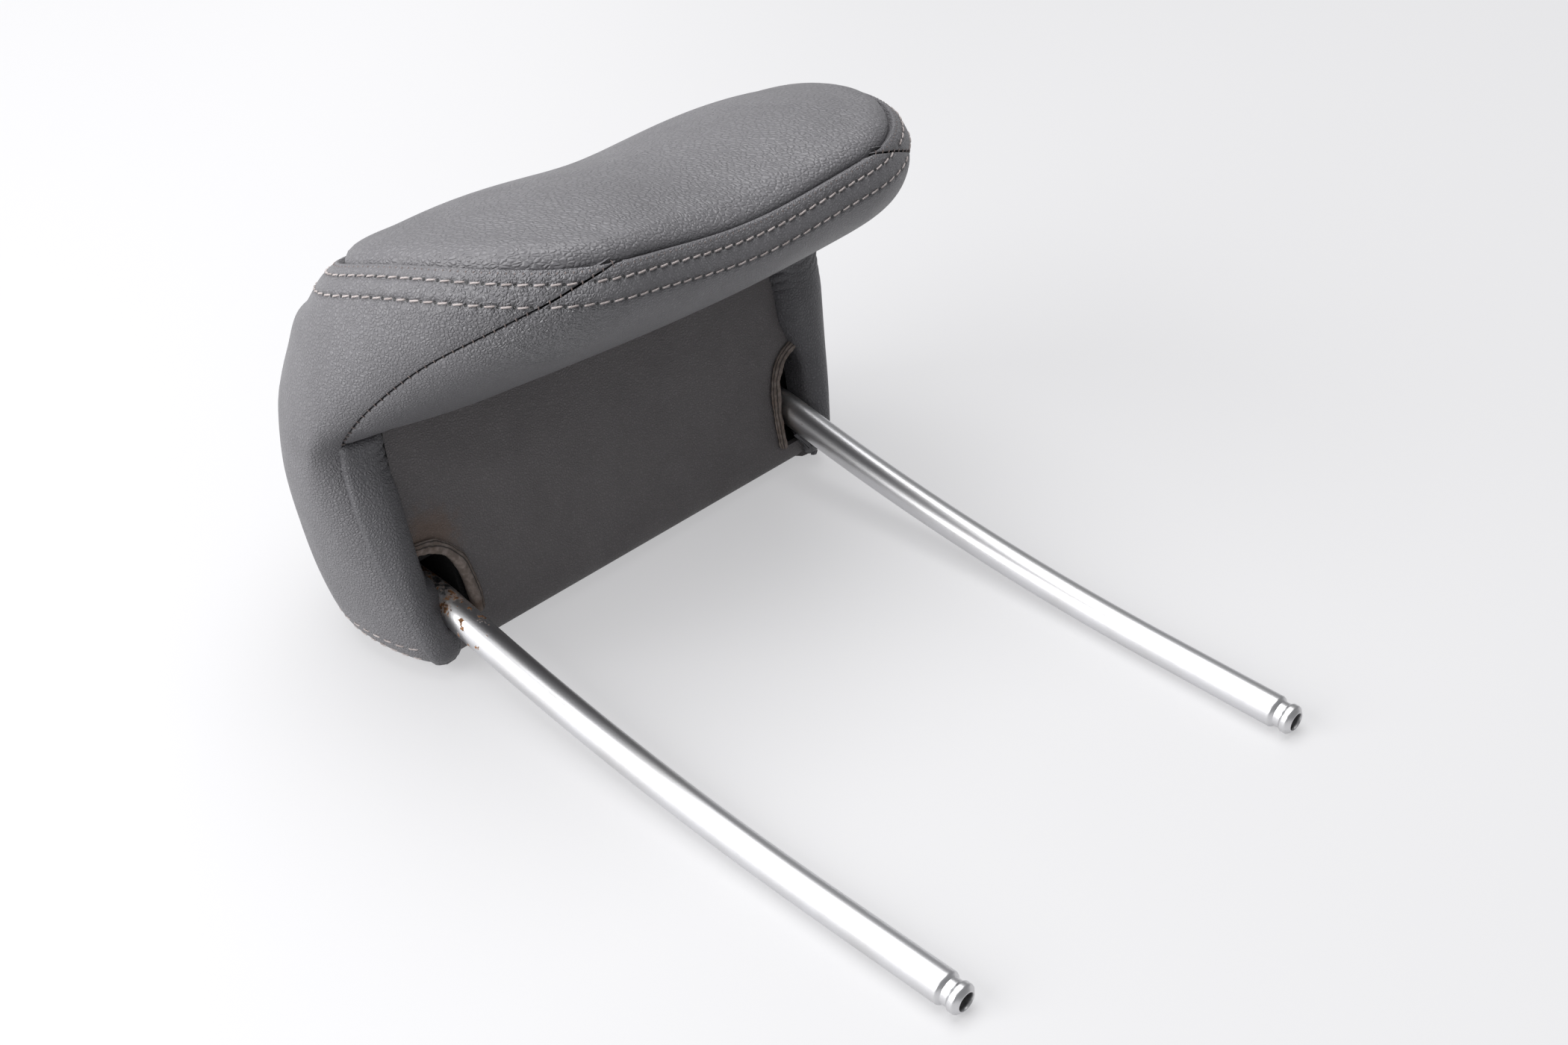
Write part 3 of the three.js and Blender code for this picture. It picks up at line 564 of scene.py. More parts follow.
# %% Swell the form by simulation
COARSE_COLUMNS = 96
COARSE_RINGS = np.concatenate((np.linspace(0.12, 1, 8)[:-1], np.linspace(1, LAST_RING, 37), [13.5]))
SWELL_FRAMES = 20
SWELL_CAP = 3.0
PIN_REACH = 2.5
REAR_PINNED = 2.2
UNDER_FROM, UNDER_HALF, UNDER_Y = 6.8, 99, 236


def coarse_form(turns):
    """The coarse form as a closed mesh, and its rings as an array of points."""
    inner = np.array([form(m, turns * half_length(m)) for m in COARSE_RINGS])[:, :-1]
    rings, columns = inner.shape[:2]
    closed = np.vstack((inner.reshape(-1, 3), inner[0].mean(0), inner[-1].mean(0)))
    faces = []
    for i in range(rings - 1):
        for j in range(columns):
            k = (j + 1) % columns
            faces.append((i * columns + j, (i + 1) * columns + j, (i + 1) * columns + k, i * columns + k))
    first, last = rings * columns, rings * columns + 1
    for j in range(columns):
        k = (j + 1) % columns
        faces.append((first, j, k))
        faces.append((last, (rings - 1) * columns + k, (rings - 1) * columns + j))
    mesh = bpy.data.meshes.new("swelling_form")
    mesh.from_pydata(to_frame(closed).tolist(), [], faces)
    return mesh, inner


def pin_seams(swelling, turns, inner):
    """Holds the seams, the recess and the rear face, and returns the name of the group that does so."""
    rings, columns = inner.shape[:2]
    pins = swelling.vertex_groups.new(name="seams")
    for i, m in enumerate(COARSE_RINGS):
        held_ring = abs(m - 1) < 0.01 or m > LAST_RING - REAR_PINNED
        for j in range(columns):
            arc = abs(turns[j]) * half_length(m)
            on_seam = m > 1 and abs(arc - seam_arc(m)) < PIN_REACH
            x, y = inner[i, j, :2]
            under = m > UNDER_FROM and abs(x) < UNDER_HALF and y < UNDER_Y
            if held_ring or on_seam or under:
                pins.add([i * columns + j], 1.0, "REPLACE")
    pins.add([rings * columns + 1], 1.0, "REPLACE")
    return pins.name


def swell_form():
    """How far each point of the coarse form moves, as an array of rings by columns by 3, in mm."""
    turns = np.linspace(-1, 1, COARSE_COLUMNS + 1)
    mesh, inner = coarse_form(turns)
    rings, columns = inner.shape[:2]
    swelling = bpy.data.objects.new("swelling_form", mesh)
    bpy.context.scene.collection.objects.link(swelling)
    cloth = swelling.modifiers.new("swell", "CLOTH")
    cloth.settings.quality = 6
    cloth.settings.mass = 0.25
    cloth.settings.tension_stiffness = 18
    cloth.settings.compression_stiffness = 18
    cloth.settings.bending_stiffness = 2.5
    cloth.settings.use_pressure = True
    cloth.settings.uniform_pressure_force = 4.0
    cloth.settings.vertex_group_mass = pin_seams(swelling, turns, inner)
    cloth.settings.effector_weights.gravity = 0.0
    cloth.collision_settings.use_collision = False
    scene = bpy.context.scene
    cloth.point_cache.frame_start = 1
    cloth.point_cache.frame_end = SWELL_FRAMES
    for number in range(1, SWELL_FRAMES + 1):
        scene.frame_set(number)
    settled = swelling.evaluated_get(bpy.context.evaluated_depsgraph_get())
    swollen = settled.to_mesh()
    moved = np.zeros(len(swollen.vertices) * 3)
    swollen.vertices.foreach_get("co", moved)
    settled.to_mesh_clear()
    shift = (moved.reshape(-1, 3)[:rings * columns] - to_frame(inner).reshape(-1, 3)) / MM
    scene.frame_set(1)
    bpy.data.objects.remove(swelling)
    far = np.linalg.norm(shift, axis=1, keepdims=True)
    shift *= np.minimum(1.0, SWELL_CAP / np.maximum(far, 1e-6))
    shift = shift.reshape(rings, columns, 3)
    print("swelling: mean", round(float(far.mean()), 2), "most", round(float(far.max()), 2), "mm")
    return np.concatenate((shift, shift[:, :1]), axis=1)


swell = swell_form()


def swell_at(m, arcs):
    """The simulated movement at ring m, at distances along its half outline."""
    row = float(np.interp(m, COARSE_RINGS, np.arange(len(COARSE_RINGS))))
    i = min(int(row), len(COARSE_RINGS) - 2)
    column = (np.asarray(arcs) / half_length(m) + 1) / 2 * COARSE_COLUMNS
    j = np.clip(column.astype(int), 0, COARSE_COLUMNS - 1)
    u, v = (column - j)[..., None], row - i
    low = swell[i, j] * (1 - u) + swell[i, j + 1] * u
    high = swell[i + 1, j] * (1 - u) + swell[i + 1, j + 1] * u
    return low * (1 - v) + high * v


def full_form(m, arcs):
    """The form with its swelling."""
    return form(m, arcs) + swell_at(m, arcs)


def line_across(ms, arc_of, surface=full_form):
    """One point on each ring, at the distance that arc_of gives for it."""
    return np.array([surface(m, np.array([arc_of(m)]))[0] for m in ms])


# %% [markdown]
# Grids are the easiest start for a sewn panel: a primitive grid has the right faces and a UV map already, so
# only its vertices have to be moved. A hide is then given its thickness by a modifier.

# %% Grids and hides
CUSHION_MIDDLE = (0, 215, 72)
LEATHER = 1.6
TABLE_CLEAR = 0.04
WELD = 2e-6


def select_only(piece):
    bpy.ops.object.select_all(action="DESELECT")
    piece.select_set(True)
    bpy.context.view_layer.objects.active = piece


def apply_modifier(piece, name):
    select_only(piece)
    bpy.ops.object.modifier_apply(modifier=name)


def shade(piece, degrees=50.0):
    select_only(piece)
    bpy.ops.object.shade_smooth_by_angle(angle=math.radians(degrees))


def give_material(piece, material):
    piece.data.materials.clear()
    piece.data.materials.append(material)


def lay_on_table(piece):
    """No hide goes through the table top."""
    for vertex in piece.data.vertices:
        vertex.co.z = max(vertex.co.z, TABLE_CLEAR * MM)
    piece.data.update()


def grid_object(name, points, closed=False, step_uv=None):
    """A primitive grid with its vertices moved to points, an array of rows by columns in mm."""
    rows, columns = points.shape[:2]
    bpy.ops.object.select_all(action="DESELECT")
    bpy.ops.mesh.primitive_grid_add(x_subdivisions=columns - 1, y_subdivisions=rows - 1, size=1.0)
    made = bpy.context.active_object
    made.name = name
    made.data.name = name
    made.data.vertices.foreach_set("co", to_frame(points).reshape(-1, 3).ravel())
    if step_uv is not None:
        corners = np.zeros(len(made.data.loops), int)
        made.data.loops.foreach_get("vertex_index", corners)
        layer = made.data.uv_layers.active
        layer.data.foreach_set("uv", (step_uv.reshape(-1, 2)[corners] / UV_SCALE).ravel())
    if closed:
        bpy.ops.object.mode_set(mode="EDIT")
        bpy.ops.mesh.select_all(action="SELECT")
        bpy.ops.mesh.remove_doubles(threshold=WELD)
        bpy.ops.mesh.normals_make_consistent(inside=False)
        bpy.ops.object.mode_set(mode="OBJECT")
    made.data.update()
    return made


def leather_piece(name, cut, material, body, node_name,
                  closed=False, thickness=LEATHER):
    """Makes a panel's grid into a hide of real thickness and hands it to its body."""
    piece = grid_object(name, cut["points"], closed, cut["uv"])
    outward = sum(np.dot(p.normal, np.array(p.center) - to_frame(CUSHION_MIDDLE)) * p.area
                  for p in piece.data.polygons)
    if outward < 0:
        piece.data.flip_normals()
    hide = piece.modifiers.new("hide", "SOLIDIFY")
    hide.thickness = thickness * MM
    hide.offset = -1.0
    hide.use_even_offset = False
    apply_modifier(piece, "hide")
    lay_on_table(piece)
    give_material(piece, material)
    shade(piece)
    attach(piece, body)
    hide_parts(node_name)
    print(name, len(piece.data.polygons), "faces")
    return piece


# %% [markdown]
# Each leather panel is cut out of that form between its seams. A panel is a grid: its rings run round the
# cushion and its columns across it. At a sewn edge the hide turns down into the seam in a small radius, so
# two neighbours meet in a groove. That turned lip is what makes a seam look sewn, and it needs real
# geometry, because a groove made by bump has no shadow.

# %% Panels between seams
CREASE_RING = 7.0
REAR_SEAM_RING = 12.0
LIP_TURNS = np.radians((22, 45, 66, 84))
LIP_DEPTH = 1.8
LIP_REACH = 0.95
SEAM_LIP = 0.9
VALLEY = 0.7
VALLEY_WIDTH = 5.0
SEAM_SAMPLES = 1800


def spaced(start, stop, step):
    """Distances from start to stop, closer together at both ends."""
    count = max(int(round((stop - start) / step)), 4)
    t = np.linspace(0, 1, count + 1)
    eased = t - np.sin(2 * np.pi * t) / (2 * np.pi) * 0.55
    return start + (stop - start) * eased


def grid_normals(points, closed):
    along = np.gradient(points, axis=0)
    if closed:
        ends = np.concatenate((points[:, -2:-1], points, points[:, 1:2]), axis=1)
        across = np.gradient(ends, axis=1)[:, 1:-1]
    else:
        across = np.gradient(points, axis=1)
    normals = np.cross(across, along)
    normals /= np.maximum(np.linalg.norm(normals, axis=2, keepdims=True), 1e-9)
    outwards = points - np.array(CUSHION_MIDDLE, float)
    if np.sum(normals * outwards) < 0:
        normals = -normals
    return normals


def seam_line(m):
    """Ring m as a line of points, and the distance along it from the middle of its lower edge."""
    line = full_form(m, np.linspace(-half_length(m), half_length(m), SEAM_SAMPLES))
    walked = walked_along(line)
    return line, walked - walked[-1] / 2


front_seam = seam_line(1.0)
rear_seam = seam_line(REAR_SEAM_RING)
print("front seam", round(2 * front_seam[1][-1]), "mm, rear seam", round(2 * rear_seam[1][-1]), "mm")


# %% One panel with its turned-in edges
LEAST_HEIGHT = 0.05


def nearest_on(seam, points):
    """Distance from each point of a grid to a seam line, and how far along the line its nearest place is."""
    line, walked = seam
    distances = np.zeros(points.shape[:2])
    places = np.zeros(points.shape[:2])
    squares = np.sum(line ** 2, axis=1)
    for i, row in enumerate(points):
        nearest = np.argmin(squares[None] - 2 * row @ line.T, axis=1)
        nearest = np.clip(nearest, 1, len(line) - 2)
        ahead = line[nearest + 1] - line[nearest - 1]
        t = np.sum((row - line[nearest]) * ahead, axis=1) / np.sum(ahead ** 2, axis=1)
        t = np.clip(t, -0.5, 0.5)
        distances[i] = np.linalg.norm(row - line[nearest] - ahead * t[:, None], axis=1)
        places[i] = walked[nearest] + t * (walked[nearest + 1] - walked[nearest - 1])
    return distances, places


def turned_lip(edge, seam, normal, radius, depth):
    """Offsets of a turned-in edge's rows or columns, from the edge outwards."""
    if not radius:
        return []
    across = seam - edge
    across = across - normal * np.sum(across * normal, axis=-1, keepdims=True)
    size = np.linalg.norm(across, axis=-1, keepdims=True)
    depth = depth(seam) if callable(depth) else np.full(len(seam), depth)
    turned = [across * LIP_REACH * math.sin(a) - normal * size * (1 - math.cos(a)) for a in LIP_TURNS]
    return turned + [across * LIP_REACH - normal * (size + depth[:, None])]


def seam_distances(inner, seam_first, seam_last, lips):
    """Each point's distance to the nearest sewn edge, and the distance walked from the first ring."""
    step_down = np.linalg.norm(np.diff(inner, axis=0), axis=2)
    from_first = np.vstack((np.zeros(inner.shape[1]), np.cumsum(step_down, axis=0)))
    from_first += np.linalg.norm(inner[0] - seam_first, axis=1)
    step_across = np.linalg.norm(np.diff(inner, axis=1), axis=2)
    from_start = np.hstack((np.zeros((inner.shape[0], 1)), np.cumsum(step_across, axis=1)))
    to_last = from_first[-1:] + np.linalg.norm(inner[-1] - seam_last, axis=1) - from_first
    gaps = (from_first, to_last, from_start + lips[2], from_start[:, -1:] - from_start + lips[3])
    return np.min([gap for gap, lip in zip(gaps, lips) if lip], axis=0), from_first


def with_lips(inner, tops, feet, lefts, rights):
    """The grid with its turned-in edges added on all sides, and the rows and columns that they copy."""
    rows = np.clip(np.arange(-len(tops), len(inner) + len(feet)), 0, len(inner) - 1)
    columns = np.clip(np.arange(-len(lefts), inner.shape[1] + len(rights)), 0, inner.shape[1] - 1)
    points = inner[rows][:, columns].copy()
    for i, offset in enumerate(tops):
        points[i] += offset[columns]
    for i, offset in enumerate(feet):
        points[len(rows) - len(feet) + i] += offset[columns]
    for j, offset in enumerate(lefts):
        points[:, j] += offset[rows]
    for j, offset in enumerate(rights):
        points[:, len(columns) - len(rights) + j] += offset[rows]
    points[..., 2] = np.maximum(points[..., 2], LEAST_HEIGHT)
    return points, rows, columns


def panel(first, last, start, stop, step, lips, depths=(LIP_DEPTH,) * 4, closed=False, shape=None):
    """The grid of one panel between rings first and last and arcs start(m) and stop(m).

    lips are the lip radii at the first ring, the last ring, the start and the stop, 0 for none.
    shape moves the inner points. It takes points, normals, the distance to the nearest seam and the distance
    walked from the first ring.
    """
    trial = np.linspace(first, last, 240)
    walked = walked_along(line_across(trial, lambda m: 0.5 * (start(m) + stop(m)), form))
    down = spaced(lips[0], walked[-1] - lips[1], step)
    ms = np.interp(down, walked, trial)
    width = float(np.mean([stop(m) - start(m) for m in ms]))
    share = spaced(0.0, width, step) / width
    if closed:
        share = np.linspace(0, 1, int(round(width / step)) + 1)

    def at_ring(m):
        return full_form(m, start(m) + lips[2] + (stop(m) - start(m) - lips[2] - lips[3]) * share)

    inner = np.array([at_ring(m) for m in ms])
    normals = grid_normals(inner, closed)
    seam_first, seam_last = at_ring(first), at_ring(last)
    nearest, from_first = seam_distances(inner, seam_first, seam_last, lips)
    inner = inner - normals * (VALLEY * np.exp(-nearest / VALLEY_WIDTH))[..., None]
    if shape is not None:
        inner = shape(inner, normals, nearest, from_first)
    normals = grid_normals(inner, closed)
    tops = turned_lip(inner[0], seam_first, normals[0], lips[0], depths[0])[::-1]
    feet = turned_lip(inner[-1], seam_last, normals[-1], lips[1], depths[1])
    lefts = turned_lip(inner[:, 0], line_across(ms, start), normals[:, 0], lips[2], depths[2])[::-1]
    rights = turned_lip(inner[:, -1], line_across(ms, stop), normals[:, -1], lips[3], depths[3])
    points, rows, columns = with_lips(inner, tops, feet, lefts, rights)
    front = nearest_on(front_seam, inner)
    uv = np.stack((front[1][rows][:, columns], front[0][rows][:, columns]), axis=-1)
    return {"points": points, "uv": uv, "inner": inner, "normals": normals, "rings": ms,
            "front": front, "rear": nearest_on(rear_seam, inner)}


# %% [markdown]
# The front panel is the large top face. It is cut a little too full, so it stands up in a soft roll just
# behind its seam and hides half of the groove. A few creases have formed where it is loose. They are lines
# drawn on the panel, and the hide dips along them.

# %% Front panel
GRID_STEP = 1.7
FRONT_LIP = 3.2
FOLD_CENTRE = np.array([-62.0, 160.0])
FOLD_REACH = 30.0
CREASE_DEPTH = 0.42
CREASE_WIDTH = 1.8
ROLL_HEIGHT, ROLL_AT_FOLD = 0.9, 1.3
ROLL_PLACE, ROLL_WIDTH = 7.5, 6.0
FRONT_MIDDLE_RING = 0.02
# Lines of x and y where the hide has creased: two crescents at the near corner, a long one at the far end
CREASES = (
    ((-71, 179), (-62, 174.5), (-54, 167.5), (-50, 160)),
    ((-58, 187), (-49.8, 177.5), (-44, 167), (-41, 158)),
    ((40, 205), (50, 193), (57, 181), (62, 168)),
)


def in_crease(points):
    """How deep in a crease each point is, from 0 to 1."""
    deep = np.zeros(points.shape[:2])
    for crease in CREASES:
        for start, end in zip(crease, crease[1:]):
            way = np.subtract(end, start)
            from_start = points[..., :2] - np.array(start)
            share = np.clip(from_start @ way / (way @ way), 0, 1)
            away = np.linalg.norm(from_start - share[..., None] * way, axis=-1)
            deep = np.maximum(deep, np.exp(-(away / CREASE_WIDTH) ** 2))
    return deep


def full_front(points, normals, nearest, down):
    """The extra fullness behind the front seam, most of all at the near corner, where it hangs over."""
    away = np.linalg.norm(points[..., :2] - FOLD_CENTRE, axis=-1)
    fold = np.exp(-(away / FOLD_REACH) ** 2)
    roll = (ROLL_HEIGHT + ROLL_AT_FOLD * fold) * np.exp(-((nearest - ROLL_PLACE) / ROLL_WIDTH) ** 2)
    return points + normals * (roll - CREASE_DEPTH * in_crease(points))[..., None]


def left_end(m):
    return -half_length(m)


front_cut = panel(1.0, FRONT_MIDDLE_RING, left_end, half_length, GRID_STEP, (FRONT_LIP, 0, 0, 0),
                  closed=True, shape=full_front)
front_cut["points"][-1] = front_cut["points"][-1].mean(0)
front_panel = leather_piece("front_panel_leather", front_cut, cover_leather, "cushion",
                            "front_panel", closed=True)

# %% [markdown]
# The chin band wraps round the lower front edge, between the two diagonal seams, and rolls under into the
# recess. The side panels take over from there and run right round the sides. Both carry the two rows of
# topstitching, so they share the stitched leather.

# %% Chin band and side panels
ROLL_LIP = 3.0
RECESS_DEPTH = 7.0
FOOT_Y = 200.5
FOOT_HEIGHT = 7.0
FOOT_HALF = 97.0
TUCK_DEPTH = 1.8
STRIPS_FROM, STRIPS_FADE = 80, 6


def chin_depth(seam):
    """How far the band's foot turns in: deep between the strips, less where it is sewn to them."""
    over_strip = np.clip((np.abs(seam[:, 0]) - STRIPS_FROM) / STRIPS_FADE, 0, 1)
    return RECESS_DEPTH + (TUCK_DEPTH - RECESS_DEPTH) * over_strip


def keep_foot(points):
    """Nothing of a panel's turned-in edge may stand out in front of the foot."""
    foot = (points[..., 2] < FOOT_HEIGHT) & (np.abs(points[..., 0]) < FOOT_HALF)
    points[..., 1] = np.where(foot, np.maximum(points[..., 1], FOOT_Y), points[..., 1])


def left_seam(m):
    return -seam_arc(m)


chin_cut = panel(1.0, CREASE_RING, left_seam, seam_arc, GRID_STEP,
                 (SEAM_LIP, ROLL_LIP, SEAM_LIP, SEAM_LIP), (LIP_DEPTH, chin_depth, LIP_DEPTH, LIP_DEPTH))
chin_band = leather_piece("chin_band_leather", chin_cut, stitched_leather, "cushion", "chin_band")

side_cuts = {}
for side, start, stop in (("right", seam_arc, half_length), ("left", left_end, left_seam)):
    side_cuts[side] = panel(1.0, REAR_SEAM_RING, start, stop, GRID_STEP, (SEAM_LIP,) * 4)
for side, cut in side_cuts.items():
    keep_foot(cut["points"])
    leather_piece(f"side_panel_leather_{side}", cut, stitched_leather, "cushion",
                  f"side_panel_{side}")

# %% [markdown]
# A rolled strip of leather runs down each side of the recess. Its outer edge is sewn to the side panel, and
# its inner edge rolls over and stands proud of the dark panel behind it.

# %% Recess strips
STRIP_ROLL = 4.0
STRIP_LEAST = 4.5
STRIP_FLOOR = 2.4
FOOT_RISE = 12.0
FOOT_TUCK = 4.5
STRIP_INNER = {"left": ((0, 86.2), (80, 86.2)), "right": ((38, 81.1), (54, 75.4))}
STRIP_STEP = 0.6
CREASE_LIP = 1.0
CREASE_DEEP = 2.0
TUCKS = 0.12
TUCK_PITCH = 2.9
TUCK_REACH = 6.0
TUCK_PLACE = 5
TUCK_CURVE = 0.05
TUCK_SLANT = 0.35


def strip_inner(side, m):
    """Distance along ring m to a strip's inner edge, which stays clear of the post beside it."""
    row = faired(SECTIONS, m - 1)
    x = float(np.interp(row[0], *zip(*STRIP_INNER[side])))
    return arc_at_x(m, min(x, row[7] - STRIP_LEAST))


def gathered(points, normals, nearest, down):
    """The strip's head lies in small curved tucks under the chin, and its foot is tucked back."""
    middle = points[..., 0].mean(axis=1, keepdims=True)
    curve = TUCK_CURVE * (points[..., 0] - middle) ** 2
    wave = np.sin(2 * np.pi * (down + curve) / TUCK_PITCH + TUCK_SLANT * points[..., 0])
    depth = TUCKS * np.exp(-((down - TUCK_PLACE) / TUCK_REACH) ** 2)
    low = np.clip(1 - points[..., 2] / FOOT_RISE, 0, 1)
    gathered_in = points + normals * (depth * wave)[..., None]
    gathered_in[..., 1] += FOOT_TUCK * low ** 2
    return gathered_in


strip_edges = {"left": (left_seam, lambda m: -strip_inner("left", m)),
               "right": (lambda m: strip_inner("right", m), seam_arc)}
strip_lips = {"left": (SEAM_LIP, STRIP_ROLL), "right": (STRIP_ROLL, SEAM_LIP)}
strip_depths = {"left": (LIP_DEPTH, RECESS_DEPTH), "right": (RECESS_DEPTH, LIP_DEPTH)}
strip_cuts = {}
for side in ("left", "right"):
    cut = panel(CREASE_RING, REAR_SEAM_RING, *strip_edges[side], STRIP_STEP,
                (CREASE_LIP, SEAM_LIP, *strip_lips[side]), (CREASE_DEEP, LIP_DEPTH, *strip_depths[side]),
                shape=gathered)
    keep_foot(cut["points"])
    cut["points"][..., 2] = np.maximum(cut["points"][..., 2], STRIP_FLOOR)
    leather_piece(f"recess_strip_leather_{side}", cut, strip_leather, "cushion",
                  f"recess_strip_{side}")
    strip_cuts[side] = cut

# %% [markdown]
# The rear panel is the hide that the cushion lies on. It can't be seen here, but someone may turn the
# headrest over. Between the strips its edge is moved back, so the dark panel can turn under it.

# %% Rear panel
REAR_STEP = 2.4
REAR_MIDDLE_RING = LAST_RING + 0.98
REAR_THICKNESS = 1.2
BETWEEN_STRIPS = 72.0
BETWEEN_FADE = 6
HEEL_END_Y = RECESS_FOOT_Y + HEEL_RADIUS + 1.0
rear_cut = panel(REAR_SEAM_RING, REAR_MIDDLE_RING, left_end, half_length, REAR_STEP, (SEAM_LIP, 0, 0, 0),
                 closed=True)
rear_points = rear_cut["points"]
keep_foot(rear_points)
inside = np.clip((BETWEEN_STRIPS + BETWEEN_FADE - np.abs(rear_points[..., 0])) / BETWEEN_FADE, 0, 1)
behind_heel = np.maximum(rear_points[..., 1], HEEL_END_Y)
rear_points[..., 1] += inside * (behind_heel - rear_points[..., 1])
rear_points[-1] = rear_points[-1].mean(0)
rear_panel = leather_piece("rear_panel_leather", rear_cut, panel_leather, "cushion",
                           "rear_panel", closed=True, thickness=REAR_THICKNESS)

# %% [markdown]
# The dark panel closes the recess. It leans back a little, it runs under the strips on both sides, and it
# has a slit for each post: one curved cut, from its outer edge over the post and down beside it. The panel
# is drawn as a grid, and a prism with the cut's outline takes the slit out of it.

# %% Under panel with its slits
PANEL_HALF = 89.0
# Heights, and the panel's half width there: it narrows towards the table, as the side panels do
PANEL_WIDTHS = ((0, 5, 20), (75, 78, PANEL_HALF))
PANEL_HIGH = 80.0
PANEL_THICK = 1.8
PANEL_COLUMNS = 141
PANEL_ROWS = 56
PANEL_BULGE = 1.3
HEEL_TURNS = np.radians(np.linspace(8, 88, 14))


def panel_bulge(x, z):
    """How far the dark panel stands forward of its plane, in mm."""
    across = np.clip(1 - (np.abs(x) / PANEL_HALF) ** 4, 0, 1)
    up = np.clip(np.sin(np.pi * np.clip((z - HEEL_RADIUS) / (PANEL_HIGH - HEEL_RADIUS), 0, 1)), 0, 1)
    return PANEL_BULGE * across * up


def panel_point(x, z, proud=0.0):
    """A point of the dark panel at x and z, standing proud by some mm, leaned as the cushion is."""
    x, z = np.asarray(x, float), np.asarray(z, float)
    return leaned(np.stack((x, panel_y(z) - panel_bulge(x, z) - proud, z), axis=-1))


def before_lean(x, z):
    """Where a place at x and z was before the cushion leaned."""
    x0, z0 = x, z
    for _ in range(4):
        z0 = z - (1 - np.exp(-z0 / SETTLE_HEIGHT)) * (SETTLE - ROLL * x0)
        x0 = x - LEAN * z0
    return x0, z0


def make_under_panel():
    heel_levels = HEEL_RADIUS * (1 - np.cos(HEEL_TURNS))
    levels = np.concatenate((heel_levels, np.linspace(HEEL_RADIUS, PANEL_HIGH, PANEL_ROWS)))
    share, z = np.meshgrid(np.linspace(-1, 1, PANEL_COLUMNS), levels)
    x = share * np.interp(z, *PANEL_WIDTHS)
    piece = grid_object("under_panel_leather", panel_point(x, z), False, np.stack((x, z), axis=-1))
    if sum(p.normal.y * p.area for p in piece.data.polygons) > 0:
        piece.data.flip_normals()
    hide = piece.modifiers.new("hide", "SOLIDIFY")
    hide.thickness = PANEL_THICK * MM
    hide.offset = -1.0
    apply_modifier(piece, "hide")
    lay_on_table(piece)
    for side in (-1, 1):
        cut_slit(piece, side)
    give_material(piece, panel_leather)
    shade(piece, 40)
    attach(piece, "cushion")
    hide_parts("under_panel")
    return piece


# %% The slits' cuts
# From the panel's outer edge round to its foot: four points of a curve in x and z, and the curl's width
SLITS = {
    -1: (((-92, 41.5), (-77, 42.5), (-66.4, 42), (-66.8, 14.5)), 1.0),
    1: (((90, 43), (70, 43), (66.6, 38), (67.4, 10.5)), 0.78),
}
SLIT_POINTS = 40
SLIT_DEPTH = 60.0
SLIT_OUTSIDE = 96


def slit_curve(side, count):
    """Places along the slit's cut edge, evenly spaced, as x and z, and the distance walked."""
    path = bezier(*SLITS[side][0])
    length = walked_along(path)
    at = np.linspace(0, length[-1], count)
    return np.stack((np.interp(at, length, path[:, 0]), np.interp(at, length, path[:, 1])), axis=1), at


def cut_slit(piece, side):
    """Cuts one slit with a prism whose outline follows the slit's curve."""
    path, _ = slit_curve(side, SLIT_POINTS)
    outside = side * SLIT_OUTSIDE
    outline = np.vstack((path, [(outside, path[-1, 1]), (outside, path[0, 1])]))
    bpy.ops.object.select_all(action="DESELECT")
    bpy.ops.mesh.primitive_circle_add(vertices=len(outline), radius=0.01, fill_type="NGON")
    cutter = bpy.context.active_object
    start_y = panel_y(SETTLE_HEIGHT) - SLIT_DEPTH / 2
    places = to_frame(np.stack((outline[:, 0], np.full(len(outline), start_y), outline[:, 1]), axis=-1))
    cutter.data.vertices.foreach_set("co", places.ravel())
    bpy.ops.object.mode_set(mode="EDIT")
    bpy.ops.mesh.select_all(action="SELECT")
    bpy.ops.mesh.extrude_region_move(TRANSFORM_OT_translate={"value": (0, SLIT_DEPTH * MM, 0)})
    bpy.ops.mesh.select_all(action="SELECT")
    bpy.ops.mesh.normals_make_consistent(inside=False)
    bpy.ops.object.mode_set(mode="OBJECT")
    cut = piece.modifiers.new("slit", "BOOLEAN")
    cut.operation = "DIFFERENCE"
    cut.solver = "EXACT"
    cut.object = cutter
    apply_modifier(piece, "slit")
    bpy.data.objects.remove(cutter)


under_panel = make_under_panel()
print("under panel", len(under_panel.data.polygons), "faces")

# %% [markdown]
# Where the panel was cut for the posts, its felt backing curls out and lies round the top and the inner side
# of the slit. It has frayed a little, and the post has left some rust in it. Noise at two sizes gives the
# fibres and the clumps, and two dark lines along it stand for its sewing.

# %% Backing cloth material
SEWN_LINES = (0.40, 0.50)
FELT_DARK = (0.18, 0.145, 0.125, 1)
FELT_LIGHT = (0.30, 0.25, 0.225, 1)
FELT_RUST = (0.14, 0.072, 0.04, 1)


